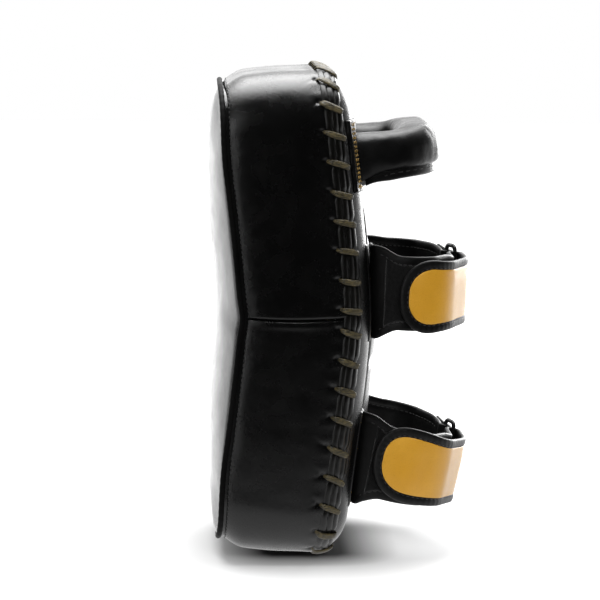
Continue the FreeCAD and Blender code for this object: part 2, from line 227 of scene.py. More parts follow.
def grid_faces(rows, columns, wrap_rows=False, wrap_columns=False, first=0, flip=False):
    """Quads between the points of a grid, whose numbers start at first."""
    faces = []
    for i in range(rows if wrap_rows else rows - 1):
        here, after = first + i * columns, first + (i + 1) % rows * columns
        for j in range(columns if wrap_columns else columns - 1):
            k = (j + 1) % columns
            quad = (here + j, here + k, after + k, after + j)
            faces.append(quad[::-1] if flip else quad)
    return faces


def add_mesh(name, shape, material, slot, node=None, body="pad", sharp=55):
    """One closed, smooth piece from (verts, faces).  It rides on a body and may replace a CAD node."""
    verts, faces = shape
    mesh = bpy.data.meshes.new(name)
    mesh.from_pydata([tuple(p) for p in np.asarray(verts).reshape(-1, 3)], [], faces)
    work = bmesh.new()
    work.from_mesh(mesh)
    bmesh.ops.remove_doubles(work, verts=work.verts, dist=MERGE)
    bmesh.ops.dissolve_degenerate(work, edges=work.edges, dist=MERGE / 4)
    bmesh.ops.recalc_face_normals(work, faces=work.faces)
    work.to_mesh(mesh)
    work.free()
    mesh.shade_smooth()
    mesh.set_sharp_from_angle(angle=math.radians(sharp))
    mesh.materials.append(material)
    piece = bpy.data.objects.new(name, mesh)
    bpy.context.scene.collection.objects.link(piece)
    if body:
        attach(piece, body)
    if node:
        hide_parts(node)
    return piece


def sheet(outer, inner):
    """Vertices and faces of a closed sheet between two grids of points."""
    rows, columns = outer.shape[:2]
    count = rows * columns
    faces = grid_faces(rows, columns) + grid_faces(rows, columns, first=count, flip=True)
    for row in (0, rows - 1):
        for j in range(columns - 1):
            a, b = row * columns + j, row * columns + j + 1
            faces.append((a, b, count + b, count + a) if row else (b, a, count + a, count + b))
    for column in (0, columns - 1):
        for i in range(rows - 1):
            a, b = i * columns + column, (i + 1) * columns + column
            faces.append((b, a, count + a, count + b) if column else (a, b, count + b, count + a))
    return np.concatenate([outer.reshape(-1, 3), inner.reshape(-1, 3)]), faces


def tube(rings, closed=False):
    """Vertices and faces of a tube from rings of points, capped at both ends unless it closes on itself."""
    count, sides = rings.shape[:2]
    faces = grid_faces(count, sides, wrap_rows=closed, wrap_columns=True)
    verts = rings.reshape(-1, 3)
    if not closed:
        centre = len(verts)
        verts = np.concatenate([verts, rings[0].mean(0)[None], rings[-1].mean(0)[None]])
        last = (count - 1) * sides
        for j in range(sides):
            k = (j + 1) % sides
            faces.append((k, j, centre))
            faces.append((last + j, last + k, centre + 1))
    return verts, faces


def join(parts):
    """Several (verts, faces) as one."""
    verts, faces, first = [], [], 0
    for v, f in parts:
        verts.append(v)
        faces += [tuple(i + first for i in face) for face in f]
        first += len(v)
    return np.concatenate(verts), faces


def circle(sides, a=1.0, b=1.0, power=2.0):
    """Points of an ellipse, or with a higher power of a rounded box."""
    turn = full_turn(sides)
    return np.stack([a * powered(np.cos(turn), 2 / power), b * powered(np.sin(turn), 2 / power)], -1)


def stitch_row(place, curve, height, length, gap, radius):
    """Short threads along a flat curve of (a, b) points; place maps (a, b, height) to the row frame."""
    travel = travelled(curve)
    count = max(1, int(travel[-1] / (length + gap)))
    starts = (np.arange(count) + 0.5) * travel[-1] / count
    along = np.array([-0.5, -0.42, -0.2, 0.2, 0.42, 0.5]) * length
    swell = np.array([0.3, 0.8, 1.0, 1.0, 0.8, 0.3])
    sink = np.array([-1.0, -0.4, 0.15, 0.15, -0.4, -1.0]) * radius
    ring = circle(6)
    made = []

    def spot(s):
        return np.array([np.interp(s, travel, curve[:, k]) for k in (0, 1)])

    for s in starts:
        rings = []
        for a, w, h in zip(along, swell, sink):
            step = spot(s + a + 0.1 * MM) - spot(s + a - 0.1 * MM)
            t = step / max(np.linalg.norm(step), 1e-9)
            flat = spot(s + a) + ring[:, :1] * radius * w * np.array([[-t[1], t[0]]])
            rings.append(place(flat[:, 0], flat[:, 1], height + h + ring[:, 1] * radius * w))
        made.append(tube(np.array(rings)))
    return join(made)


# ---------------- materials
def new_material(name):
    material = bpy.data.materials.new(name)
    material.use_nodes = True
    tree = material.node_tree
    return material, tree, tree.nodes["Principled BSDF"]


def feed(tree, node, **inputs):
    """Gives a node values or other nodes' outputs: i0, i1 by number, or by name with _ for a space."""
    for key, value in inputs.items():
        numbered = key[0] == "i" and key[1:].isdigit()
        socket = node.inputs[int(key[1:]) if numbered else key.replace("_", " ")]
        if isinstance(value, bpy.types.NodeSocket):
            tree.links.new(value, socket)
        else:
            socket.default_value = value


def add_node(tree, kind, settings=None, **inputs):
    """A shader node with its settings and inputs."""
    made = tree.nodes.new(kind)
    for key, value in (settings or {}).items():
        setattr(made, key, value)
    feed(tree, made, **inputs)
    return made


def number_math(tree, operation, first, second):
    return add_node(tree, "ShaderNodeMath", {"operation": operation}, i0=first, i1=second).outputs[0]


def vector_math(tree, operation, first, second=None, result="Vector"):
    made = add_node(tree, "ShaderNodeVectorMath", {"operation": operation}, i0=first)
    if second is not None:
        feed(tree, made, i1=second)
    return made.outputs[result]


def grey(value):
    return (value, value, value, 1)


def darker(colour, share):
    return tuple(c * share for c in colour[:3]) + (1,)


def coordinates(tree):
    return add_node(tree, "ShaderNodeTexCoord").outputs["Object"]


def noise_of(tree, where, scale, detail=3.0, distortion=0.0):
    return add_node(tree, "ShaderNodeTexNoise", Vector=where, Scale=scale, Detail=detail,
                    Distortion=distortion).outputs["Fac"]


def remap(tree, value, low, high, to_low=0.0, to_high=1.0):
    return add_node(tree, "ShaderNodeMapRange", Value=value, From_Min=low, From_Max=high, To_Min=to_low,
                    To_Max=to_high).outputs["Result"]


def mix_colours(tree, factor, first, second):
    made = add_node(tree, "ShaderNodeMix", {"data_type": "RGBA"}, i0=factor, i6=first, i7=second)
    return made.outputs[2]


def bump(tree, height, distance, strength=1.0, normal=None):
    made = add_node(tree, "ShaderNodeBump", Height=height, Distance=distance, Strength=strength)
    if normal is not None:
        tree.links.new(normal, made.inputs["Normal"])
    return made.outputs["Normal"]


def leather(name, dark, light, roughness, grain=1000.0, grain_depth=0.05, crease_depth=0.25, gloss=0.5):
    """Grained leather: fine cells, soft creases and rubbed patches; depths in millimetres."""
    material, tree, shader = new_material(name)
    where = coordinates(tree)
    cells = add_node(tree, "ShaderNodeTexVoronoi", {"feature": "DISTANCE_TO_EDGE"}, Vector=where,
                     Scale=grain).outputs["Distance"]
    grain_height = remap(tree, cells, 0.0, 0.25)
    pores = noise_of(tree, where, grain * 2.4, 2.0)
    creases = noise_of(tree, where, 110.0, 5.0, 0.8)
    patches = noise_of(tree, where, 24.0, 3.0)
    normal = bump(tree, creases, crease_depth * MM, 0.6)
    normal = bump(tree, pores, grain_depth * MM * 0.4, 0.6, normal)
    normal = bump(tree, grain_height, grain_depth * MM, 0.8, normal)
    colour = mix_colours(tree, remap(tree, patches, 0.35, 0.7), dark, light)
    # painted shade: the colour goes darker down in the grain's hollows
    colour = mix_colours(tree, remap(tree, grain_height, 0.0, 0.5, 0.5, 0.0), colour, darker(dark, 0.6))
    wear = remap(tree, noise_of(tree, where, 60.0, 4.0), 0.3, 0.75, roughness - 0.05, roughness + 0.07)
    feed(tree, shader, Base_Color=colour, Roughness=wear, Normal=normal, Specular_IOR_Level=gloss)
    return material


def woven(name, dark, light, scale, depth, roughness=0.8, sheen=0.3):
    """Woven tape or thread: fine ribs both ways."""
    material, tree, shader = new_material(name)
    where = coordinates(tree)
    ribs = []
    for way, size in (("Z", scale), ("DIAGONAL", scale * 0.8)):
        wave = add_node(tree, "ShaderNodeTexWave", {"bands_direction": way}, Vector=where, Scale=size,
                        Distortion=0.6)
        ribs.append(wave.outputs["Fac"])
    weave = number_math(tree, "MULTIPLY", *ribs)
    fuzz = noise_of(tree, where, scale * 2.0, 3.0)
    normal = bump(tree, fuzz, depth * 0.5 * MM, 0.6)
    normal = bump(tree, weave, depth * MM, 0.9, normal)
    colour = mix_colours(tree, remap(tree, noise_of(tree, where, 70.0), 0.3, 0.7), dark, light)
    # painted shade: the colour goes darker down between the ribs of the weave
    colour = mix_colours(tree, remap(tree, weave, 0.0, 0.4, 0.5, 0.0), colour, darker(dark, 0.4))
    feed(tree, shader, Base_Color=colour, Roughness=roughness, Normal=normal, Sheen_Weight=sheen)
    return material


def fuzzy(name, dark, light, scale, depth):
    """Loop or hook pile: a dense mat of tiny tufts."""
    material, tree, shader = new_material(name)
    where = coordinates(tree)
    tufts = add_node(tree, "ShaderNodeTexVoronoi", Vector=where, Scale=scale).outputs["Distance"]
    clumps = noise_of(tree, where, scale * 0.35, 4.0, 0.4)
    normal = bump(tree, clumps, depth * MM, 0.8)
    normal = bump(tree, tufts, depth * 0.7 * MM, 1.0, normal)
    # painted shade: the colour follows the clumps' height, darker in the low ones and lighter on the raised
    # ones
    colour = mix_colours(tree, remap(tree, clumps, 0.35, 0.7), dark, light)
    feed(tree, shader, Base_Color=colour, Roughness=0.95, Normal=normal, Specular_IOR_Level=0.15,
         Sheen_Weight=0.25, Sheen_Roughness=0.5)
    return material


def waxed_cord(name, dark, light):
    """Waxed lacing cord: fibres along it, with painted shade between them."""
    material, tree, shader = new_material(name)
    where = coordinates(tree)
    drawn_out = vector_math(tree, "MULTIPLY", where, (0.3, 0.3, 1.5))
    fibres = noise_of(tree, drawn_out, 900.0, 4.0, 1.2)
    stains = noise_of(tree, where, 160.0, 3.0)
    normal = bump(tree, fibres, 0.35 * MM, 1.0)
    # painted shade: the colour follows the fibres' height, dark down between them
    colour = mix_colours(tree, remap(tree, fibres, 0.40, 0.62), dark, light)
    colour = mix_colours(tree, remap(tree, stains, 0.45, 0.7, 0.0, 0.6), colour, dark)
    feed(tree, shader, Base_Color=colour, Normal=normal, Roughness=remap(tree, stains, 0.3, 0.7, 0.55, 0.38))
    return material


def gunmetal(name):
    """Dark plated wire with fine scratches and a few rubbed spots."""
    material, tree, shader = new_material(name)
    where = coordinates(tree)
    scratches = noise_of(tree, where, 1400.0, 2.0, 2.0)
    rubbed = noise_of(tree, where, 120.0, 4.0)
    colour = mix_colours(tree, remap(tree, rubbed, 0.5, 0.75), grey(0.035), grey(0.16))
    normal = bump(tree, scratches, 0.02 * MM, 0.5)
    feed(tree, shader, Base_Color=colour, Normal=normal, Metallic=0.9,
         Roughness=remap(tree, scratches, 0.3, 0.7, 0.22, 0.36))
    return material


def foam(name, dark, light):
    """Open-cell foam."""
    material, tree, shader = new_material(name)
    where = coordinates(tree)
    cells = add_node(tree, "ShaderNodeTexVoronoi", Vector=where, Scale=700.0).outputs["Distance"]
    # painted shade: the colour goes darker down in the open cells
    colour = mix_colours(tree, remap(tree, cells, 0.1, 0.6), dark, light)
    feed(tree, shader, Base_Color=colour, Normal=bump(tree, cells, 0.4 * MM, 0.9), Roughness=0.95)
    return material


black_leather = leather("black_leather", grey(0.0010), grey(0.0022), 0.26)
strike_leather = leather("strike_leather", grey(0.0020), grey(0.004), 0.13, grain=800.0, crease_depth=0.2)
welt_leather = leather("welt_leather", (0.0012, 0.0012, 0.0010, 1), (0.0028, 0.0026, 0.0022, 1), 0.31,
                       crease_depth=0.35)
handle_leather = leather("handle_leather", grey(0.0016), grey(0.0034), 0.36, crease_depth=0.4, gloss=0.26)
anchor_leather = leather("anchor_leather", grey(0.0015), grey(0.0035), 0.32, grain=1200.0, crease_depth=0.3)
gold_leather = leather("gold_leather", (0.50, 0.25, 0.022, 1), (0.57, 0.30, 0.035, 1), 0.20, grain=1300.0,
                       grain_depth=0.03, crease_depth=0.28)
TAPE = {"grain": 1500.0, "grain_depth": 0.03, "crease_depth": 0.2}
binding_tape = leather("binding_tape", grey(0.0016), grey(0.0034), 0.42, gloss=0.3, **TAPE)
piping_tape = leather("piping_tape", grey(0.0016), grey(0.0034), 0.55, gloss=0.06, **TAPE)
strap_lining = woven("strap_lining", grey(0.0015), grey(0.003), 900.0, 0.12, 0.7, 0.15)
pile_tape = fuzzy("pile_tape", grey(0.0008), grey(0.0028), 1100.0, 0.35)
hook_tape = fuzzy("hook_tape", grey(0.0015), grey(0.004), 800.0, 0.25)
# the cord's dark colour is both the painted shade between its fibres and the colour of its stains
lace_cord = waxed_cord("lace_cord", (0.011, 0.010, 0.006, 1), (0.086, 0.067, 0.028, 1))
gold_thread = woven("gold_thread", (0.26, 0.155, 0.03, 1), (0.44, 0.28, 0.07, 1), 2500.0, 0.06, 0.5, 0.1)
dark_thread = woven("dark_thread", grey(0.008), grey(0.022), 2500.0, 0.06, 0.5, 0.1)
ring_wire = gunmetal("ring_wire")
dense_foam = foam("dense_foam", (0.20, 0.20, 0.21, 1), (0.34, 0.34, 0.35, 1))
soft_foam = foam("soft_foam", (0.45, 0.40, 0.26, 1), (0.66, 0.60, 0.42, 1))
rope_fibre = woven("rope_fibre", (0.42, 0.36, 0.25, 1), (0.60, 0.53, 0.40, 1), 500.0, 0.5, 0.9, 0.2)


# ---------------- pad body
SKIN = 2.2 * MM                             # thickness of the pad's leather
HALF_ROUND = OUTLINE / 2                    # the outline from one mid-height seam to the other
NEAR_SEAM = HALF_V                          # distance round the outline of the near mid-height seam
STITCHES_PER_HALF = 24
STITCH_FROM_SEAM = 8 * MM
FACE_SWELL = 22 * MM                        # height of the strike face in front of its seam
ROLL_SWELL = 5 * MM                         # extra height where the face rolls over its ends
WALL_SUNK = 1.5                             # the wall starts this far in at the piping, in millimetres
WALL_RISE = 4.2                             # comes out by this just behind it
WALL_FALL = 2.2                             # and goes in again by this towards the lacing
WALL_NOTCH = 1.6                            # a groove right against the piping
WELT_PROUD = 0.9                            # height of the welt's body
FOLD_PROUD = 1.35                           # and of its folds on top of that
FOLDS = 3
WALL_START = 2.4 * MM                       # the wall's leather starts this far behind the piping's centre
WALL_FLAT = ROUND_RADIUS - SEAM_RADIUS - WALL_START
WELT_AROUND = (math.radians(10), math.radians(44))     # where the welt lies round the back edge
LACE_AROUND = (math.radians(4), math.radians(47))      # and the lacing over it


def stitch_places():
    """Distances round the outline of all the lacing's stitches, evenly spaced from seam to seam."""
    spread = np.linspace(STITCH_FROM_SEAM, HALF_ROUND - STITCH_FROM_SEAM, STITCHES_PER_HALF)
    return np.concatenate([NEAR_SEAM + spread, NEAR_SEAM + HALF_ROUND + spread])


LACED = stitch_places()


def way_round(distance):
    """A distance along the closed outline, as the shorter way round with its sign."""
    return (distance + OUTLINE / 2) % OUTLINE - OUTLINE / 2


def depth_inside(x, v):
    """How far inside the pad's outline a flat point is."""
    past_x, past_v = np.abs(x) - HALF_X, np.abs(v) - HALF_V
    corner = np.hypot(np.maximum(past_x, 0), np.maximum(past_v, 0))
    return CORNER - corner - np.minimum(np.maximum(past_x, past_v), 0)


def face_grid(inset, rows, columns):
    """Flat x and v over everything inside the outline drawn in by inset, denser towards its edge."""
    corner = CORNER - inset
    v = np.sin(np.linspace(-math.pi / 2, math.pi / 2, rows)) * (HALF_V + corner)
    past = np.maximum(np.abs(v) - HALF_V, 0)
    half = HALF_X + np.sqrt(np.maximum(corner ** 2 - past ** 2, 0))
    x = half[:, None] * np.sin(np.linspace(-math.pi / 2, math.pi / 2, columns))
    return x, np.repeat(v[:, None], columns, 1)


def seam_kink(v):
    """The strike face's seam is pulled back a little where the side wall's two halves meet."""
    return 1.8 * MM * bell(v, 13 * MM)


def dome(x, v):
    """Height of the strike face in front of its seam."""
    across = np.abs(x) / HALF_WIDTH
    along = np.abs(v) / (HALF_V + CORNER)
    depth = depth_inside(x, v)
    full = FACE_SWELL * (1 - across ** 2.4) ** 0.8 * (1 - along ** np.where(v > 0, 4.0, 3.0))
    from_end = HALF_V + CORNER - np.abs(v)
    rolled = ROLL_SWELL * smoothstep(from_end, -4 * MM, 4 * MM) * (1 - smoothstep(from_end, 8 * MM, 62 * MM))
    rolled = rolled * (1 - smoothstep(across, 0.5, 0.9))
    kink = seam_kink(v) * (1 - smoothstep(depth, 0, 45 * MM))
    return full * smoothstep(depth, -1 * MM, 9 * MM) + rolled - kink


def build_strike_face():
    x, v = face_grid(0, 240, 130)
    height = dome(x, v) - 2.2 * MM
    flat = level(x, v)
    dips = ripple(flat, 16, 0.55 * MM) + ripple(flat, 60, 0.18 * MM)
    height = height + dips * smoothstep(depth_inside(x, v), 2 * MM, 20 * MM)
    front = SEAM_RADIUS - height
    shape = sheet(bend(x, v, front), bend(x, v, front + SKIN))
    add_mesh("strike_face", shape, strike_leather, "strike_leather", "strike_panel")

    x, v = face_grid(4 * MM, 120, 70)
    front = SEAM_RADIUS - dome(x, v) + 6 * MM
    shape = sheet(bend(x, v, front), bend(x, v, SEAM_RADIUS + 18 * MM))
    add_mesh("face_foam_core", shape, dense_foam, "foam", "face_foam")


def build_piping():
    count, sides, radius = 900, 14, 2.3 * MM
    s = np.arange(count)[:, None] * OUTLINE / count
    turn = full_turn(sides)[None, :]
    v = outline(s, 0.0)[1]
    swell = radius * (1 + 0.04 * np.sin(s / (1.1 * MM)))
    x, v, _, _ = outline(s, 0.6 * MM - swell * np.cos(turn))
    rings = bend(x, v, SEAM_RADIUS + seam_kink(v) + swell * np.sin(turn))
    add_mesh("piping", tube(rings, closed=True), piping_tape, "binding_tape", "face_piping")

    curve = np.stack([np.linspace(0, OUTLINE, 1200), np.full(1200, 5.2 * MM)], -1)

    def lay(a, b, height):
        return wall_point(a, b - WALL_START, wall_offset(a, b - WALL_START) + height)

    shape = stitch_row(lay, curve, 0.1 * MM, 2.6 * MM, 1.6 * MM, 0.4 * MM)
    add_mesh("piping_stitches", shape, dark_thread, "binding_tape")


def wall_point(s, q, offset):
    """A point on the side wall: q is the way back from the piping, and on round the back edge."""
    s, q, offset = np.broadcast_arrays(s, q, offset)
    around = np.maximum(q - WALL_FLAT, 0) / BACK_ROUND
    reach = BACK_ROUND + offset
    x, v, _, _ = outline(s, BACK_ROUND - reach * np.cos(around))
    r = SEAM_RADIUS + WALL_START + np.minimum(q, WALL_FLAT) + reach * np.sin(around)
    return bend(x, v, r + seam_kink(v) * (1 - smoothstep(q, 0, 40 * MM)))


def wall_offset(s, q):
    """How far the side wall's leather stands out from the pad's plain form."""
    s, q = np.broadcast_arrays(s, q)
    rise = WALL_RISE * (1 - np.exp(-np.maximum(q, 0) / (8 * MM)))
    fall = WALL_FALL * smoothstep(q, 40 * MM, 82 * MM)
    notch = WALL_NOTCH * bell(q, 1.5 * MM)
    return (-WALL_SUNK + rise - fall - notch) * MM


def pucker(s, q):
    """Dents at the lacing's holes and the creases that run from them."""
    hole = WALL_FLAT + BACK_ROUND * LACE_AROUND[0]      # how far from the piping the holes are
    dent = np.zeros(np.broadcast(s, q).shape)
    draw = np.random.default_rng(11)
    before = hole - q
    for place in LACED:
        near = way_round(s - place)
        dent += 1.5 * np.exp(-(near ** 2 + before ** 2) / (1.9 * MM) ** 2)
        for lean in draw.uniform(-0.8, 0.8, 3):
            reach, depth = draw.uniform(4, 9) * MM, draw.uniform(0.1, 0.38)
            track = bell(near - lean * before, 1.2 * MM + 0.10 * np.abs(before))
            dent += depth * track * smoothstep(before, -2 * MM, 2 * MM) * bell(before, reach)
        dent -= 0.25 * bell(np.abs(near) - 6 * MM, 3 * MM) * bell(before, 6 * MM)     # bulges between
    return dent * MM


def seam_roll(edge, radius, depth):
    """Leather rolling down into the mid-height seam: edge is the distance from it."""
    t = np.clip(1 - edge / radius, 0, 1)
    return depth * (1 - np.sqrt(1 - t * t))


def build_wall(name, start, radius, ridge):
    """One half of the side wall, from the mid-height seam on one side round an end to the other side's."""
    fine = np.concatenate([np.linspace(0.15, 3, 12), np.linspace(3.4, 8, 10)]) * MM
    middle = np.linspace(fine[-1], HALF_ROUND - fine[-1], 560)[1:-1]
    s = np.concatenate([fine, middle, HALF_ROUND - fine[::-1]])[:, None]
    q = np.concatenate([np.linspace(0, 12, 14), np.linspace(13.5, 56, 24), np.linspace(57, 82, 30)]) * MM
    q = q[None, :]
    edge = np.minimum(s, HALF_ROUND - s)                # distance from the nearer seam
    sag = 1.7 * MM * np.sin(math.pi * np.clip(q / (80 * MM), 0, 1)) * np.exp(-edge / (14 * MM))
    upward = 1 if start == NEAR_SEAM else -1
    shift = np.where(s < HALF_ROUND / 2, -1, 1) * upward * sag
    place = start + s
    flat = np.stack(np.broadcast_arrays(place, q, np.full_like(s, upward)), -1)
    offset = wall_offset(place, q) - pucker(place, q) - seam_roll(edge, radius, 3.4 * MM)
    offset = offset + ridge * bell(edge - 4.5 * MM, 3.5 * MM) * np.sin(math.pi * q / (85 * MM))
    uneven = ripple(flat, 22, 0.5 * MM) + ripple(flat * (1, 0.5, 1), 75, 0.16 * MM)
    offset = offset + uneven * smoothstep(q, 2 * MM, 12 * MM)
    outer = wall_point(place + shift, q, offset)
    inner = wall_point(place + shift, q, offset - SKIN)
    node = name.replace("_cover", "_side_wall")
    add_mesh(name, sheet(outer, inner), black_leather, "black_leather", node)


def build_welt():
    """The folded leather edges under the lacing: ridges that the stitches pinch together."""
    count, columns = 1500, 40
    s = np.arange(count)[:, None] * OUTLINE / count
    u = np.linspace(0, 1, columns)[None, :]
    pinch = np.zeros_like(s)
    for place in LACED:
        near = way_round(s - place + 3 * MM)
        pinch = np.maximum(pinch, bell(near, 3.4 * MM))
    flat = np.stack(np.broadcast_arrays(s, u * 0.02, np.zeros_like(s)), -1)
    wander = ripple(flat, 60, 0.05)
    folds = np.abs(np.sin(math.pi * FOLDS * (u + wander * (1 - (2 * u - 1) ** 2)))) ** 0.5
    body = np.sin(math.pi * u) ** 0.35
    lift = 0.25 + WELT_PROUD * body * (1 - 0.55 * pinch) + FOLD_PROUD * folds * body * (1 - 0.75 * pinch)
    lift = lift * MM
    lift = lift + ripple(flat, 130, 0.22 * MM)
    low, high = WELT_AROUND
    middle = (low + high) / 2
    around = middle + (low + (high - low) * u - middle) * (1 - 0.22 * pinch)
    outer = over_edge(s, around, lift)
    inner = over_edge(s, around[:, ::-1], np.full_like(lift, -0.9 * MM))
    rings = np.concatenate([outer, inner], 1)
    add_mesh("edge_welt", tube(rings, closed=True), welt_leather, "black_leather", "lace_welt", sharp=70)


def stitch_slant(s):
    """How far a stitch's back end lags its side end: more and more up the upper half, even down the lower."""
    v = float(outline(s, 0.0)[1])
    if v > 0:
        return (2.0 + 10.0 * (v / (HALF_V + CORNER)) ** 0.9) * MM
    return 7.4 * MM


def build_lacing():
    draw = np.random.default_rng(5)
    made = []
    turn = full_turn(16)
    plies = 1 - 0.16 * np.cos(2 * turn) ** 8 - 0.13 * bell(turn - math.pi / 2, 0.25)
    first, last = LACE_AROUND
    for place in LACED:
        slant = stitch_slant(np.array(place)) + draw.uniform(-0.8, 0.8) * MM
        wide, thick = draw.uniform(2.25, 2.75) * MM, draw.uniform(1.35, 1.65) * MM
        sag = draw.uniform(-1.1, 0.9) * MM
        twist = draw.uniform(-0.25, 0.25)
        spin = slant / (BACK_ROUND * (last - first))
        rings = []
        for t in np.linspace(0, 1, 25):
            arch = math.sin(math.pi * t)
            taper = 0.34 + 0.66 * min(1, 1.25 * arch) ** 0.8
            lift = (-2.6 + 5.4 * min(1, 1.9 * arch) ** 0.7 + 0.3 * arch) * MM
            around = first + (last - first) * t
            along = place - slant * t + sag * arch
            lean = twist + 0.5 * (t - 0.5)
            local = np.stack([np.cos(turn) * wide * taper, np.sin(turn) * thick * taper * plies], -1)
            a = local[:, 0] * math.cos(lean) - local[:, 1] * math.sin(lean)
            b = local[:, 0] * math.sin(lean) * 0.4 + local[:, 1]
            rings.append(over_edge(along + a, around + a * spin / BACK_ROUND, lift + b))
        made.append(tube(np.array(rings)))
    add_mesh("lacing", join(made), lace_cord, "lace_cord", "edge_lacing", sharp=75)


def back_radius_at(x, v):
    """Bend radius of the back panel's leather: round at its edge, plain in the middle."""
    depth = np.clip(depth_inside(x, v), 0, BACK_ROUND)
    return ROUND_RADIUS + np.sqrt(BACK_ROUND ** 2 - (BACK_ROUND - depth) ** 2)


def build_back_panel():
    inset = BACK_ROUND * (1 - math.cos(WELT_AROUND[1] - math.radians(3)))
    x, v = face_grid(inset, 260, 150)
    flat = level(x, v)
    inside = smoothstep(depth_inside(x, v), 6 * MM, 20 * MM)
    r = back_radius_at(x, v) + (ripple(flat, 20, 0.35 * MM) + ripple(flat, 70, 0.15 * MM)) * inside
    shape = sheet(bend(x, v, r), bend(x, v, r - SKIN))
    add_mesh("back_cover", shape, black_leather, "black_leather", "back_panel")


build_strike_face()
build_piping()
build_wall("upper_cover", NEAR_SEAM, 3.2 * MM, 0.3 * MM)
build_wall("lower_cover", NEAR_SEAM + HALF_ROUND, 2.2 * MM, 0.9 * MM)
build_welt()
build_lacing()
build_back_panel()


# ---------------- forearm cushion
CUSHION_HALF = 44 * MM
CUSHION_LOW = math.radians(-8.8) * ROUND_RADIUS
CUSHION_HIGH = math.radians(4.25) * ROUND_RADIUS
CUSHION_HALF_V = (CUSHION_HIGH - CUSHION_LOW) / 2
CUSHION_MIDDLE = (CUSHION_LOW + CUSHION_HIGH) / 2
CUSHION_TALL = 9 * MM
CUSHION_CORNER = 15 * MM
CLOTH_PRESSURE = 4.0
CLOTH_FRAMES = 20
CHANNELS = 3                                # sewn channels across the cushion


def channel_at(k):
    """How far up from the cushion's middle a sewn channel lies."""
    return CUSHION_HALF_V * (2 * (k + 1) / (CHANNELS + 1) - 1)


def on_cushion(a, b, height):
    """A point over the cushion's flat middle, in the row frame."""
    return bend(a, b + CUSHION_MIDDLE, BACK_RADIUS + height)


def points_of(mesh):
    return np.array([v.co for v in mesh.vertices])


def applied(piece):
    """The mesh that a piece's modifiers make."""
    return bpy.data.meshes.new_from_object(piece.evaluated_get(bpy.context.evaluated_depsgraph_get()))


def rounded_box(count, half_x, half_v, corner):
    """Points round a flat rounded rectangle about the origin, evenly spaced."""
    straight_x, straight_v = half_x - corner, half_v - corner
    made = []
    for i, (cx, cv) in enumerate([(1, 1), (-1, 1), (-1, -1), (1, -1)]):
        turn = math.pi / 2 * i + np.linspace(0, math.pi / 2, 24)
        round_it = np.stack([np.cos(turn), np.sin(turn)], -1)
        made.append(np.array([cx * straight_x, cv * straight_v]) + corner * round_it)
    loop = np.concatenate(made + [made[0][:1]])
    travel = travelled(loop)
    at = np.arange(count) * travel[-1] / count
    return np.stack([np.interp(at, travel, loop[:, k]) for k in (0, 1)], -1)


def cushion_blank():
    """A flat, slightly small pillow: the shape that the cloth swells from, as a plain object."""
    loops = []
    for inset, height in ((3, 0.0), (0.5, 1.2), (0.5, 3.2), (4, 5.5), (14, 6.5), (28, 7.0)):
        inset, corner = inset * MM, max(CUSHION_CORNER - inset * MM, 2 * MM)
        loop = rounded_box(120, CUSHION_HALF - inset, CUSHION_HALF_V - inset, corner)
        loops.append(np.concatenate([loop, np.full((120, 1), height * MM)], 1))
    return add_mesh("cushion_blank", tube(np.array(loops)), black_leather, None, body=None)


def swell(piece, cap):
    """Where a closed mesh's points lie once it's blown up as cloth, none of them moved further than cap."""
    rest = points_of(piece.data)
    pinned = piece.vertex_groups.new(name="sewn")
    pinned.add([i for i, p in enumerate(rest) if p[2] < 1.0 * MM], 1.0, "REPLACE")
    cloth = piece.modifiers.new("cloth", "CLOTH")
    cloth.settings.quality = 6
    cloth.settings.mass = 0.2
    cloth.settings.use_pressure = True
    cloth.settings.uniform_pressure_force = CLOTH_PRESSURE
    cloth.settings.vertex_group_mass = "sewn"
    cloth.settings.effector_weights.gravity = 0
    scene = bpy.context.scene
    for step in range(1, CLOTH_FRAMES + 1):
        scene.frame_set(step)
    shift = points_of(piece.evaluated_get(bpy.context.evaluated_depsgraph_get()).data) - rest
    piece.modifiers.clear()
    scene.frame_set(1)
    length = np.linalg.norm(shift, axis=1, keepdims=True)
    return rest + shift * np.minimum(1, cap / np.maximum(length, 1e-9))


def build_cushion():
    """Blown up as cloth, then trimmed to height, smoothed, and pressed in along its sewn channels."""
    piece = cushion_blank()
    remesh = piece.modifiers.new("remesh", "REMESH")
    remesh.mode = "VOXEL"
    remesh.voxel_size = 4 * MM
    mesh = applied(piece)
    piece.modifiers.clear()
    piece.data = mesh
    points = swell(piece, 7 * MM)
    points[:, 2] = np.maximum(points[:, 2], 0)
    flatter_top = 0.3 + 0.7 * smoothstep(CUSHION_HALF_V - points[:, 1], 0, 55 * MM)
    points[:, 2] *= CUSHION_TALL / points[:, 2].max() * flatter_top
    mesh.vertices.foreach_set("co", points.ravel())
    subdivide = piece.modifiers.new("smooth", "SUBSURF")
    subdivide.levels = 2
    mesh = applied(piece)
    points = points_of(mesh)
    for k in range(CHANNELS):
        sides = smoothstep(CUSHION_HALF - np.abs(points[:, 0]), 0, 14 * MM)
        press = bell(points[:, 1] - channel_at(k), 3.6 * MM) * sides
        points[:, 2] -= press * np.maximum(points[:, 2] - 3.5 * MM, 0)
    points[:, 2] += ripple(points, 45, 0.5 * MM) * smoothstep(points[:, 2], 1 * MM, 5 * MM)
    bent = on_cushion(points[:, 0], points[:, 1], 0.1 * MM + points[:, 2])
    shape = bent, [tuple(p.vertices) for p in mesh.polygons]
    bpy.data.objects.remove(piece)
    add_mesh("forearm_pad", shape, black_leather, "black_leather", "forearm_cushion", sharp=80)


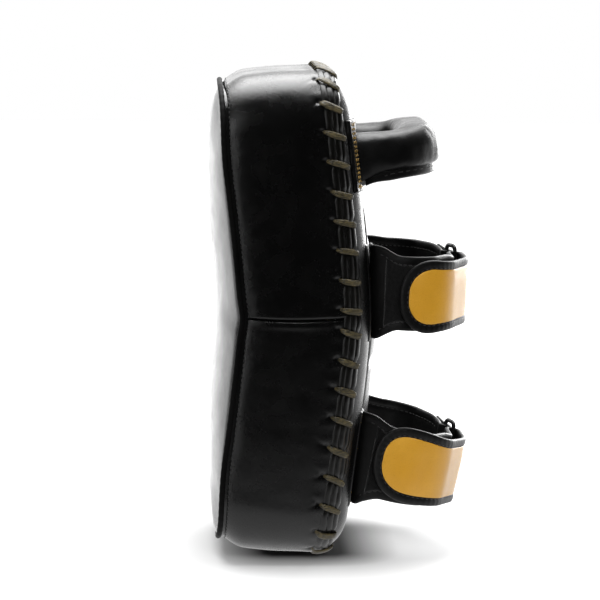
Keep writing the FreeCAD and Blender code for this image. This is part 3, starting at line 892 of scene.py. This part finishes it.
def build_cushion_seams():
    """Piping round the cushion, and stitches along its channels."""
    out = 1.5 * MM
    loop = rounded_box(420, CUSHION_HALF + out, CUSHION_HALF_V + out, CUSHION_CORNER + out)
    along = np.roll(loop, -1, 0) - np.roll(loop, 1, 0)
    along /= np.linalg.norm(along, axis=1, keepdims=True)
    ring = circle(12)
    rings = []
    for p, t in zip(loop, along):
        spot = p + ring[:, :1] * 1.7 * MM * np.array([[t[1], -t[0]]])
        rings.append(on_cushion(spot[:, 0], spot[:, 1], 1.0 * MM + ring[:, 1] * 1.5 * MM))
    add_mesh("forearm_pad_piping", tube(np.array(rings), closed=True), binding_tape, "binding_tape")

    made = []
    for k in range(CHANNELS):
        curve = np.stack([np.linspace(-1, 1, 60) * (CUSHION_HALF - 12 * MM), np.full(60, channel_at(k))], -1)
        made.append(stitch_row(on_cushion, curve, 4.1 * MM, 3.2 * MM, 1.6 * MM, 0.4 * MM))
    add_mesh("forearm_pad_stitches", join(made), dark_thread, "black_leather")


# ---------------- flat paths and things that follow them
def rounded_path(points, radii, step=1.0 * MM):
    """Points along straight runs joined by tangent arcs, about a step apart."""
    points = [np.array(p, float) * MM for p in points]
    made = [points[0][None]]

    def run_to(end):
        start = made[-1][-1]
        count = max(1, int(np.linalg.norm(end - start) / step))
        made.append(start + (end - start) * (np.arange(1, count + 1) / count)[:, None])

    for i, radius in enumerate(radii):
        corner, radius = points[i + 1], radius * MM
        back = points[i] - corner
        ahead = points[i + 2] - corner
        back, ahead = back / np.linalg.norm(back), ahead / np.linalg.norm(ahead)
        half = math.acos(np.clip(back @ ahead, -1, 1)) / 2
        run = radius / math.tan(half)
        run_to(corner + back * run)
        bisector = (back + ahead) / np.linalg.norm(back + ahead)
        centre = corner + bisector * radius / math.sin(half)
        first, last = corner + back * run - centre, corner + ahead * run - centre
        a0, a1 = math.atan2(first[1], first[0]), math.atan2(last[1], last[0])
        sweep = (a1 - a0 + math.pi) % (2 * math.pi) - math.pi
        count = max(4, int(abs(sweep) * radius / step))
        turn = a0 + sweep * np.arange(1, count + 1) / count
        made.append(centre + radius * np.stack([np.cos(turn), np.sin(turn)], -1))
    run_to(points[-1])
    return np.concatenate(made)


def arc_path(centre, radius, first, last, count):
    """Points of an arc about a flat centre, by angle in degrees."""
    turn = np.radians(np.linspace(first, last, count))
    return np.asarray(centre) + radius * np.stack([np.cos(turn), np.sin(turn)], -1)


class Path:
    """A flat path measured by the distance along it; outside is the side its normal points to."""

    def __init__(self, points, outside):
        keep = np.concatenate([[True], np.linalg.norm(np.diff(points, axis=0), axis=1) > 1e-6])
        self.points = points[keep]
        self.travel = travelled(self.points)
        self.length = self.travel[-1]
        tangent = np.gradient(self.points, self.travel, axis=0)
        tangent /= np.linalg.norm(tangent, axis=1, keepdims=True)
        self.normal = outside * np.stack([tangent[:, 1], -tangent[:, 0]], -1)

    def at(self, s, w=0.0):
        """x and y at distance s, moved out by w."""
        s, w = np.broadcast_arrays(s, w)
        place = [np.interp(s, self.travel, self.points[:, k]) for k in (0, 1)]
        out = [np.interp(s, self.travel, self.normal[:, k]) for k in (0, 1)]
        return place[0] + out[0] * w, place[1] + out[1] * w

    def find(self, test):
        """The distance of the first point that passes a test of x and y."""
        return self.travel[np.argmax(test(self.points[:, 0], self.points[:, 1]))]


def place_on_back(angle, droop=0.0, eased=False, shift_until=None):
    """Maps a frame drawn on the back panel's tangent plane to the row frame.

    Eased droop leaves the root flat.  The root follows the settled back panel, and shift_until is the height
    by which that has faded out.
    """
    settle = settled(angle * ROUND_RADIUS)

    def place(x, y, z):
        x, y, z = np.broadcast_arrays(x, y, z)
        shift = settle * (1 - smoothstep(y, 4 * MM, shift_until) if shift_until else 1.0)
        lean = droop * (smoothstep(y, 2 * MM, 14 * MM) if eased else 1.0)
        over = y - DROOP_PIVOT
        high = DROOP_PIVOT + over * np.cos(lean) - z * np.sin(lean) + BACK_RADIUS + LIFT
        wide = over * np.sin(lean) + z * np.cos(lean)
        return np.stack([x, AXIS_Y + shift + high * math.cos(angle) - wide * math.sin(angle),
                         AXIS_Z + high * math.sin(angle) + wide * math.cos(angle)], -1)
    return place


def hemmed_profile(half, thick, hem):
    """Cross-section of a strap: rounded edges, thicker hems, and a stitched groove inside each hem."""
    u = np.sin(np.linspace(-1, 1, 34) * math.pi / 2)
    u = powered(u, 0.8) * half
    edge = half - np.abs(u)
    groove = 0.30 * bell(edge - hem, 0.7 * MM)
    crown = 0.12 * bell(edge - hem * 0.45, hem * 0.4)
    plain = np.where(edge > hem, 0.86, 1.0)
    w = thick / 2 * rounding(edge, thick * 0.55) * (plain + crown - groove)
    return u, np.maximum(w, 0.02 * MM)


def strap_mesh(path, half_of, thick_of, place):
    """A hemmed strap along a path; half_of and thick_of give its size at a distance along the path."""
    rings = []
    for s in np.linspace(0, path.length, int(path.length / STRAP_STEP)):
        half = half_of(s)
        u, w = hemmed_profile(half, thick_of(s), HEM)
        drift = np.array([noise.noise(Vector((s * 28, a * 22, half * 5))) for a in u]) * STRAP_WAVE
        outer = np.stack([u, w + drift], -1)
        inner = np.stack([u[::-1], -w[::-1] + drift[::-1]], -1)[1:-1]
        ring = np.concatenate([outer, inner])
        x, y = path.at(np.full(len(ring), s), ring[:, 1])
        rings.append(place(x, y, ring[:, 0]))
    return tube(np.array(rings))


def seam_along(path, start, end, u_of, w, place):
    """A row of stitches on a strap's face at a height u that may change along it."""
    s = np.linspace(start, end, 160)
    curve = np.stack([s, np.array([u_of(value) for value in s])], -1)

    def lay(a, b, height):
        x, y = path.at(a, np.sign(w) * height)
        return place(x, y, b)
    return stitch_row(lay, curve, abs(w), 3.0 * MM, 1.3 * MM, 0.38 * MM)


# ---------------- handle
SEAM_OUT = 10 * MM                          # the cover's seam lies this far outside the middle of the grip
SEAM_UNDER = 0.94                           # and starts at this share of the way down to its underside
SEAM_CREASE = 1.5 * math.pi + 0.41          # the seam draws the cover in at this angle round the grip
PADDING_SHARE = 0.86                        # the foam's size inside the cover
HANDLE_GRIP = [(62, 1.0), (62, 51), (-62, 51), (-62, 1.0)]


def handle_section(path, s):
    """Half thickness, half height above and half height below the path."""
    root = min(s, path.length - s)
    flare = math.exp(-(root / (15 * MM)) ** 1.6)
    slim = 0.6 * math.exp(-((root - 27 * MM) / (12 * MM)) ** 2)
    high = 15.4 + 2.6 * float(smoothstep(root, 22 * MM, 60 * MM))
    return (17.8 - 0.8 * flare - slim) * MM, (high + flare - slim) * MM, (17.6 + 9.5 * flare - slim) * MM


def build_handle():
    """The grip's leather cover and the foam inside it."""
    path = Path(rounded_path(HANDLE_GRIP, [27, 27], 1.0 * MM), 1)
    place = place_on_back(HANDLE_ANGLE)
    turn = full_turn(48)
    c, d = np.cos(turn), np.sin(turn)
    stations = np.linspace(0, path.length, 240)
    rings = []
    for s in stations:
        thick, above, below = handle_section(path, s)
        power = 2.3 + 0.9 * float(smoothstep(min(s, path.length - s), 10 * MM, 45 * MM))
        z = np.where(d > 0, above, below) * powered(d, 2 / np.where(d > 0, 2.2, power))
        z = z + 1.2 * MM * bell(turn - SEAM_CREASE, 0.22)
        x, y = path.at(np.full(len(turn), s), thick * powered(c, 2 / power))
        rings.append(place(x, y, z))
    rings = np.array(rings)
    centre = rings.mean(1, keepdims=True)
    outward = rings - centre
    outward /= np.linalg.norm(outward, axis=-1, keepdims=True)
    root = np.minimum(stations, path.length - stations)[:, None]
    wrinkle = ripple(rings * (1, 1, 1.6), 55, 1.0) * (0.55 + 0.9 * bell(root - 36 * MM, 16 * MM))
    wrinkle = wrinkle + ripple(rings * (1.4, 1, 0.6), 130, 0.35)
    rings = rings + outward * wrinkle[..., None] * MM
    add_mesh("grip_cover", tube(rings), handle_leather, "black_leather", "handle_cover")
    shape = tube((centre + (rings - centre) * PADDING_SHARE)[6:-6])
    add_mesh("grip_padding", shape, dense_foam, "foam", "handle_padding")
    build_grip_seam(path, place)


def build_grip_seam(path, place):
    """The cover's two raw edges, bound together under the grip, and the stitches along both sides of them."""
    layers, threads = [], []
    sides = 16
    wide = 0.85                             # half thickness of a bound edge, and how far off the seam it lies
    for offset, drop in ((wide, 5.0), (-wide, 5.6)):
        flaps = []
        for s in np.linspace(3.5 * MM, path.length - 3.5 * MM, 230):
            grown = 0.25 + 0.75 * float(smoothstep(min(s, path.length - s), 3 * MM, 26 * MM))
            shown = 1.25 * drop * grown
            ring = circle(sides, wide * MM, (shown / 2 + 1.2) * MM, 3.2)
            wavy = noise.noise(Vector((s * 60, offset, 0))) * 0.35 * MM
            z = -SEAM_UNDER * handle_section(path, s)[2] - (shown / 2 - 1.6) * MM + ring[:, 1] + wavy
            x, y = path.at(np.full(sides, s), SEAM_OUT + ring[:, 0] + offset * MM + wavy)
            flaps.append(place(x, y, z))
        layers.append(tube(np.array(flaps)))
    add_mesh("grip_seam", join(layers), binding_tape, "binding_tape", "handle_binding")

    s = np.linspace(18 * MM, path.length - 18 * MM, 400)
    drop = np.array([-SEAM_UNDER * handle_section(path, value)[2] - 1.4 * MM for value in s])
    curve = np.stack([s, drop], -1)
    for side in (1, -1):
        def lay(a, b, height, side=side):
            x, y = path.at(a, SEAM_OUT + side * height)
            return place(x, y, b)
        threads.append(stitch_row(lay, curve, 1.75 * MM, 3.0 * MM, 1.5 * MM, 0.36 * MM))
    add_mesh("grip_stitches", join(threads), dark_thread, "binding_tape")


# ---------------- anchor patches
def dense_ends(length, start, count):
    """Distances from 0 to length in millimetres, close together near both ends and count between them."""
    near = np.linspace(0, 3, 9)
    return np.concatenate([near, np.linspace(start, length - start, count), length - near[::-1]]) * MM


def build_anchor(name, node, side, inner, outer, half, angle, rows_of_thread, thick, thread):
    """A leather patch sewn over the back panel's rounded edge, from inner to outer off the panel's middle."""
    middle = angle * ROUND_RADIUS
    x = dense_ends((outer - inner) / MM, 3.6, 26) + inner
    v = dense_ends(2 * half / MM, 3.8, 46) - half
    x, v = np.meshgrid(x, v)
    edge = np.minimum(np.minimum(x - inner, outer - x), half - np.abs(v))
    shoulder = rounding(edge, 1.3 * MM)
    lip = 0.9 * bell(outer - x - 2.2 * MM, 1.3 * MM) + 0.3 * bell(edge - 2 * MM, 1.4 * MM)
    lip = lip * thick / 1.5
    groove = np.zeros_like(x)
    for inset in rows_of_thread:
        groove += 0.25 * thick * bell(outer - x - inset * MM, 0.8 * MM)
    flat = level(x * side, v + middle)
    crinkle = (ripple(flat, 90, 0.3 * MM) + ripple(flat, 260, 0.28 * MM)) * shoulder * thick / 1.5
    lift = 0.15 * MM + shoulder * (thick + lip - groove) * MM + crinkle
    stray = ripple(flat[:, :, [1, 0, 2]], 30, 1.0 * MM) * smoothstep(x, inner, outer)
    top = on_back(side * (x + stray), v + middle, lift)
    under = on_back(side * (x + stray), v + middle, np.full_like(lift, 0.05 * MM))
    add_mesh(name, sheet(top, under), anchor_leather, "black_leather", node)

    def lay(a, b, h):
        return on_back(side * a, b + middle, h)

    curves = []
    for inset in rows_of_thread:
        span = np.linspace(-half + 3 * MM, half - 3 * MM, 40)
        wander = 0.3 * MM * np.sin(span / (7 * MM))
        curves.append(np.stack([np.full(40, outer - inset * MM) + wander, span], -1))
    for end in (1, -1):
        span = np.linspace(inner + 4 * MM, outer - 4 * MM, 30)
        curves.append(np.stack([span, np.full(30, end * (half - 3.5 * MM))], -1))
    rows = [stitch_row(lay, curve, (thick + 0.2) * MM, 2.3 * MM, 1.1 * MM, thread) for curve in curves]
    add_mesh(name + "_stitches", join(rows), gold_thread, "gold_leather")


def build_anchors():
    edge = HALF_WIDTH - BACK_ROUND + BACK_ROUND * (math.pi / 2 - math.radians(51))
    for end, side in (("near", 1), ("far", -1)):
        build_anchor("grip_anchor_" + end, "handle_anchor_" + end, side, 40 * MM, edge, 28.5 * MM,
                     HANDLE_ANGLE, (6.5, 10), 1.5, 0.42 * MM)
        for strap, (angle, *_) in STRAPS.items():
            build_anchor(f"{strap}_strap_anchor_{end}", f"{strap}_anchor_{end}", side, 70 * MM,
                         edge - 11 * MM, 38 * MM, angle, (1.8,), 0.6, 0.22 * MM)


# ---------------- forearm straps
HEM = 6.8 * MM                              # the seams lie this far in from a strap's edges
STRAP_STEP = 1.2 * MM                       # a strap is drawn with a cross-section about this often
STRAP_WAVE = 0.25 * MM                      # and wanders by up to this
LOOP_RADII = [6, 24, 20, 34]


def loop_route(side, under, end_x):
    """Middle of a strap from its root, up one side and in to a bar of the ring; millimetres to metres."""
    under, end_x = under / MM, end_x / MM
    corners = [(51, 1.6), (69, 1.6), (77.5, under - 36.5), (70, under - 19.5), (34, under)]
    return rounded_path([(side * x, y) for x, y in corners] + [(end_x, under)], LOOP_RADII)


def tab_route(top):
    """Middle of the pull tab from the ring's outer bar back over the near strap."""
    top = top / MM
    corners = [(-6, top), (32, top + 1.5), (77, top - 17), (86, top - 43), (79, -4)]
    return rounded_path(corners, [50, 28, 34])


def strap_half(path, root_half):
    """Half width along a strap: wide at the root, then the strap's own, then a little less at the ring."""
    def half(s):
        x, y = path.at(np.array(s))
        root = (root_half - STRAP_HALF) * (1 - float(smoothstep(y, 3 * MM, ROOT_FLARE)))
        ring = (STRAP_HALF - RING_WIDTH_HALF) * (1 - float(smoothstep(abs(x), 24 * MM, 50 * MM)))
        return STRAP_HALF + root - ring
    return half


def thinned(share, start, end):
    """A strap's thickness along it, less by a share from start to end."""
    return lambda s: STRAP_THICK * (1 - share * float(smoothstep(s, start, end)))


def hem_stitches(name, path, until, half, place):
    """A strap's four rows of stitches, along both hems on both faces."""
    root = path.find(lambda x, y: y > 7 * MM)
    rows = []
    for side in (1, -1):
        for face in (1, -1):
            rows.append(seam_along(path, root, until, lambda s, side=side: side * (half(s) - HEM),
                                   face * 1.15 * MM, place))
    add_mesh(name, join(rows), dark_thread, "binding_tape")


def build_pile(name, path, half, place):
    """The mat of loops on the near strap that the pull tab's hooks hold to."""
    first = path.find(lambda x, y: y > 12 * MM)
    last = path.find(lambda x, y: (y > 50 * MM) & (x < 22 * MM))
    s = np.linspace(first, last, 110)[:, None]
    height = np.array([half(value) for value in s[:, 0]])[:, None] - HEM - 0.6 * MM
    u = np.linspace(-1, 1, 56)[None, :] * height
    x, y = path.at(np.broadcast_to(s, u.shape))
    flat = np.stack([x, y, u], -1)
    tufts = ripple(flat, 420, 0.35 * MM) + ripple(flat, 110, 0.25 * MM)
    edge = np.minimum(height - np.abs(u), np.minimum(s - first, last - s))
    pile = 1.25 * MM + 0.85 * MM * smoothstep(edge, 0, 1.2 * MM) + tufts * smoothstep(edge, 0, 2 * MM)
    outer = place(*path.at(np.broadcast_to(s, u.shape), pile), u)
    inner = place(*path.at(np.broadcast_to(s, u.shape), 1.0 * MM), u)
    add_mesh(name + "_loop_pile", sheet(outer, inner), pile_tape, "pile_tape", name + "_pile_patch")


def build_near_strap(name, place, top):
    """The long strap: up the near side, in to the ring, and folded back over its outer bar."""
    bar = OUTER_BAR + (0, top)
    straight = loop_route(1, bar[1] - FOLD_RADIUS, bar[0])
    fold = arc_path(bar, FOLD_RADIUS, 270, 90, 34)[1:]
    tail = np.stack([bar[0] + np.linspace(1, 12, 12) * MM, np.full(12, bar[1] + FOLD_RADIUS)], -1)
    path = Path(np.concatenate([straight, fold, tail]), 1)
    half = strap_half(path, ROOT_HALF)
    fold_start = path.length - 12 * MM - math.pi * FOLD_RADIUS
    thickness = thinned(0.45, path.length - 14 * MM, path.length - 6 * MM)
    shape = strap_mesh(path, half, thickness, place)
    strap = add_mesh(name + "_near_strap", shape, binding_tape, "binding_tape", name + "_strap", body=None)
    start, end = place(np.full(2, bar[0]), bar[1] + np.array([-3, 3]) * MM, np.zeros(2))
    tuple(start)
    tuple(end)
    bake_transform(strap)
    hem_stitches(name + "_near_strap_stitches", path, fold_start - 2 * MM, half, place)
    build_pile(name, path, half, place)


def build_far_strap(name, place, top):
    """The short strap: up the far side, round the ring's inner bar, and back under itself."""
    bar = INNER_BAR + (0, top)
    straight = loop_route(-1, bar[1] - KEEPER_RADIUS, bar[0])
    loop = arc_path(bar, KEEPER_RADIUS, -90, 105, 30)[1:]
    over = top / MM
    tail = rounded_path([tuple(loop[-1] / MM), (-30, over - 10.8), (-44, over - 16)], [8])[1:]
    path = Path(np.concatenate([straight, loop, tail]), -1)
    half = strap_half(path, FAR_ROOT_HALF)
    keeper_start = path.find(lambda x, y: x > -34 * MM)
    shape = strap_mesh(path, half, thinned(0.35, keeper_start, keeper_start + 8 * MM), place)
    add_mesh(name + "_far_strap", shape, binding_tape, "binding_tape", name + "_ring_strap")
    hem_stitches(name + "_far_strap_stitches", path, keeper_start, half, place)


TIP_POWER = 2.35                            # the pull tab's tip is a little squarer than a half circle


def tab_outline(tip, inset, count):
    """Distances along the tab and heights round its edge, from one side of the ring round the tip."""
    half = TAB_HALF - inset
    turn = np.linspace(-math.pi / 2, math.pi / 2, count)
    s = tip - TAB_HALF + half * np.abs(np.cos(turn)) ** (2 / TIP_POWER)
    u = half * powered(np.sin(turn), 2 / TIP_POWER)
    run = np.linspace(0, tip - TAB_HALF, 90)[:-1]
    s = np.concatenate([run, s, run[::-1]])
    u = np.concatenate([np.full(len(run), -half), u, np.full(len(run), half)])
    travel = np.concatenate([[0], np.cumsum(np.hypot(np.diff(s), np.diff(u)))])
    even = np.linspace(0, travel[-1], count * 2)
    return np.interp(even, travel, s), np.interp(even, travel, u)


def tab_panel(path, tip, inset, low, high, place, puff=0, start=0.0):
    """A closed panel inside the tab's outline, from height low to high off the path, with a rounded edge."""
    rows, columns = 150, 44
    s = start + (tip - inset - start) * np.sin(np.linspace(0, math.pi / 2, rows))
    past = np.clip((s - (tip - TAB_HALF)) / (TAB_HALF - inset), 0, 1)
    half = (TAB_HALF - inset) * np.maximum(1 - past ** TIP_POWER, 0) ** (1 / TIP_POWER)
    half = np.maximum(half, 0.3 * MM)
    u = np.sin(np.linspace(-1, 1, columns) * math.pi / 2)[None, :] * half[:, None]
    s = np.repeat(s[:, None], columns, 1)
    edge = np.minimum(half[:, None] - np.abs(u), tip - inset - s)
    shoulder = rounding(edge, 1.4 * MM)
    x, y = path.at(s)
    flat = np.stack([x, y, u], -1)
    soft = ripple(flat, 32, 0.30 * MM) + ripple(flat, 120, 0.08 * MM)
    height = low + (high - low) * shoulder
    if high > low:
        height = height + (puff * smoothstep(edge, 0, 12 * MM) + soft * shoulder)
    outer = place(*path.at(s, height), u)
    inner = place(*path.at(s, np.full_like(s, low)), u)
    return sheet(outer, inner)


def tab_place(place, top, tilt):
    """Narrows a pull tab towards the ring and tilts it in its own plane."""
    def shaped(x, y, z):
        neck = 1 - (1 - RING_WIDTH_HALF / TAB_HALF) * smoothstep(y, top - 42 * MM, top - 6 * MM)
        return place(x, y, z * neck + (y - top) * math.tan(-tilt))
    return shaped


def build_tab(name, place, top, tilt, tip_height, body):
    path = Path(tab_route(top), -1)
    place = tab_place(place, top, tilt)
    tip = path.find(lambda x, y: y < tip_height)
    s, u = tab_outline(tip, 3.7 * MM, 220)
    ds, du = np.gradient(s), np.gradient(u)
    length = np.hypot(ds, du)
    inward_s, inward_u = -du / length, ds / length
    rings = []
    for i in range(len(s)):
        ring = circle(22, 4.0 * MM, 1.95 * MM, 3.0)
        ring[:, 1] *= 1 + 0.05 * math.sin(i * 0.9)
        dent = 0.45 * MM * bell(ring[:, 0] - 2.3 * MM, 0.55 * MM) * np.sign(ring[:, 1])
        a = s[i] + inward_s[i] * ring[:, 0]
        b = u[i] + inward_u[i] * ring[:, 0]
        rings.append(place(*path.at(a, ring[:, 1] - dent), b))
    shape = tube(np.array(rings))
    add_mesh(name + "_tab_rim", shape, binding_tape, "binding_tape", name + "_tab_binding", body=body)

    panels = (("_tab_carrier", tab_panel(path, tip, 4 * MM, -1.0 * MM, 0.9 * MM, place),
               strap_lining, "binding_tape", "_pull_tab"),
              ("_tab_panel", tab_panel(path, tip, 6.8 * MM, 0.7 * MM, 1.75 * MM, place, puff=0.35 * MM),
               gold_leather, "gold_leather", "_tab_face"),
              ("_hook_pile", tab_panel(path, tip, 7.5 * MM, -0.9 * MM, -1.9 * MM, place, start=22 * MM),
               hook_tape, "hook_tape", "_hook_patch"))
    for piece, shape, material, slot, node in panels:
        add_mesh(name + piece, shape, material, slot, name + node, body=body)

    curve = np.stack(tab_outline(tip, 6.0 * MM, 220), -1)

    def lay(p, q, height):
        return place(*path.at(p, height), q)
    shape = stitch_row(lay, curve, 1.45 * MM, 2.8 * MM, 1.3 * MM, 0.34 * MM)
    add_mesh(name + "_tab_stitches", shape, dark_thread, "binding_tape", body=body)


def build_straps():
    for name, (angle, droop, tilt, reach, tip) in STRAPS.items():
        top = LOOP_TOP + reach
        sewn = place_on_back(angle, droop, eased=True, shift_until=45 * MM)
        hanging = place_on_back(angle, droop, shift_until=5 * MM)
        build_near_strap(name, sewn, top)
        build_far_strap(name, sewn, top)
        build_tab(name, hanging, top, tilt, tip, name + "_pull")


# ---------------- CAD nodes that stay, with better finishes
def finish_cad_nodes():
    finishes = {"core_foam": soft_foam, "back_foam": dense_foam, "handle_rope": rope_fibre,
                "upper_ring": ring_wire, "lower_ring": ring_wire}
    for node, material in finishes.items():
        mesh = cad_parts[node].data
        mesh.materials.clear()
        mesh.materials.append(material)
        mesh.shade_smooth()
        mesh.set_sharp_from_angle(angle=math.radians(35))


build_cushion()
build_cushion_seams()
build_handle()
build_anchors()
build_straps()
finish_cad_nodes()


# ---------------- stage
FOOT = (50 * MM, 22 * MM, 0.0)              # half the floor area under the pad's painted shadow
FOOT_MIDDLE = (0.0, -22 * MM, 0.0)
FLOOR_SIZE = 12
FLOOR_DROP = 0.3 * MM
FOOT_PAINTED_SHADOW, OPEN_SHADE = 0.02, 0.40         # the floor's lightness: painted shadow under the pad, plain floor away from it
PAINTED_SHADOW_REACH = (8 * MM, 55 * MM)             # the painted shadow fades between these distances from the foot
GLOW_REACH = (12 * MM, 200 * MM)            # a glow that whitens the floor grows between these
GLOW_MOST = 0.9
BOUNCE = (2.4, 0.015)                       # the floor's light on the pad, far side and camera's side
BOUNCE_REACH = 0.5                          # at this distance, and evenly changing in between
ROOM_LIGHT = (0.01, 1.8)                    # the room's least strength, and its most, on the far side
ROOM_SPREAD = (0.3, -0.9)                   # how far towards the camera's side a direction points for each
ROOM_POWER = 1.8
# name: place, size, power, whether it shows in reflections
SOFTBOXES = {"overhead": ((-0.3, -0.05, 1.5), (1.5, 1.2), 60, True),
             "left": ((1.6, -1.35, 0.7), (0.6, 1.5), 8, True),
             "right": ((-2.0, 1.1, 0.7), (1.2, 1.3), 42, True),
             "front": ((2.4, 0.5, 1.3), (1.5, 1.5), 62, False)}
CAMERA_LENS = 165.5
CAMERA_DISTANCE = 2.282
CAMERA_RAISED = math.radians(7.0)
CAMERA_TURNED = math.radians(88.0)
CAMERA_ROLL = math.radians(0.48)
CAMERA_AIM = Vector((0, AXIS_Y + 1.05465, 0.2027))


def camera_sees(tree, seen, unseen):
    """A shader that is one thing to the camera and another to every other ray."""
    ray = add_node(tree, "ShaderNodeLightPath").outputs["Is Camera Ray"]
    return add_node(tree, "ShaderNodeMixShader", i0=ray, i1=unseen, i2=seen).outputs[0]


def build_world():
    """White to the camera; to the pad, a room that is bright on its far side."""
    world = bpy.data.worlds.new("studio")
    bpy.context.scene.world = world
    world.use_nodes = True
    tree = world.node_tree
    tree.nodes.clear()
    facing = add_node(tree, "ShaderNodeTexCoord").outputs["Generated"]
    towards = vector_math(tree, "DOT_PRODUCT", facing, (1.0, 0.0, 0.0), "Value")
    away = number_math(tree, "POWER", remap(tree, towards, *ROOM_SPREAD), ROOM_POWER)
    strength = remap(tree, away, 0.0, 1.0, *ROOM_LIGHT)
    room = add_node(tree, "ShaderNodeBackground", Color=grey(1.0), Strength=strength).outputs[0]
    white = add_node(tree, "ShaderNodeBackground", Color=grey(1.0), Strength=1.0).outputs[0]
    add_node(tree, "ShaderNodeOutputWorld", Surface=camera_sees(tree, white, room))


def build_floor():
    """White to the camera but for a painted shadow of the pad; to the pad, a light that is stronger on the
    far side.
    """
    low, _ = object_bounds()
    bpy.ops.mesh.primitive_plane_add(size=FLOOR_SIZE, location=(0, 0, low[2] - FLOOR_DROP))
    floor = bpy.context.object
    floor.name = "floor"
    material, tree, shader = new_material("floor")
    feed(tree, shader, Roughness=0.9, Specular_IOR_Level=0.1)
    tree.nodes.remove(tree.nodes["Material Output"])
    where = coordinates(tree)
    centred = vector_math(tree, "SUBTRACT", where, FOOT_MIDDLE)
    beyond = vector_math(tree, "SUBTRACT", vector_math(tree, "ABSOLUTE", centred), FOOT)
    beyond = vector_math(tree, "MAXIMUM", beyond, (0, 0, 0))
    from_foot = vector_math(tree, "LENGTH", beyond, result="Value")
    # painted shadow: the floor's colour is darkened round the pad's foot
    shade = mix_colours(tree, remap(tree, from_foot, *PAINTED_SHADOW_REACH), grey(FOOT_PAINTED_SHADOW), grey(OPEN_SHADE))
    feed(tree, shader, Base_Color=shade)
    glow = remap(tree, from_foot, *GLOW_REACH, 0.0, GLOW_MOST)
    glow = add_node(tree, "ShaderNodeEmission", Color=grey(1.0), Strength=glow).outputs[0]
    both = add_node(tree, "ShaderNodeAddShader", i0=shader.outputs[0], i1=glow).outputs[0]
    across = add_node(tree, "ShaderNodeSeparateXYZ", Vector=where).outputs["X"]
    faded = remap(tree, across, -BOUNCE_REACH, BOUNCE_REACH, *BOUNCE)
    bounce = add_node(tree, "ShaderNodeEmission", Color=grey(1.0), Strength=faded).outputs[0]
    add_node(tree, "ShaderNodeOutputMaterial", Surface=camera_sees(tree, both, bounce))
    floor.data.materials.append(material)
    floor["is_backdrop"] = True


def build_lights():
    low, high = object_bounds()
    middle = (Vector(low) + Vector(high)) / 2
    for name, (place, size, power, mirrored) in SOFTBOXES.items():
        light = bpy.data.lights.new(name, "AREA")
        light.shape = "RECTANGLE"
        light.size, light.size_y = size
        light.energy = power
        lamp = bpy.data.objects.new(name, light)
        bpy.context.scene.collection.objects.link(lamp)
        lamp.location = place
        lamp.visible_glossy = mirrored
        lamp.rotation_euler = (middle - Vector(place)).to_track_quat("-Z", "Y").to_euler()


def build_camera():
    scene = bpy.context.scene
    camera = bpy.data.objects.new("camera", bpy.data.cameras.new("camera"))
    scene.collection.objects.link(camera)
    camera.data.lens = CAMERA_LENS
    along = CAMERA_DISTANCE * math.cos(CAMERA_RAISED)
    camera.location = CAMERA_AIM + Vector((along * math.sin(CAMERA_TURNED), -along * math.cos(CAMERA_TURNED),
                                           CAMERA_DISTANCE * math.sin(CAMERA_RAISED)))
    facing = (CAMERA_AIM - camera.location).to_track_quat("-Z", "Y")
    camera.rotation_euler = (facing @ Quaternion((0, 0, 1), CAMERA_ROLL)).to_euler()
    scene.camera = camera


bpy.context.scene.view_settings.view_transform = "Standard"
bpy.context.scene.render.film_transparent = False
build_world()
build_floor()
build_lights()
build_camera()
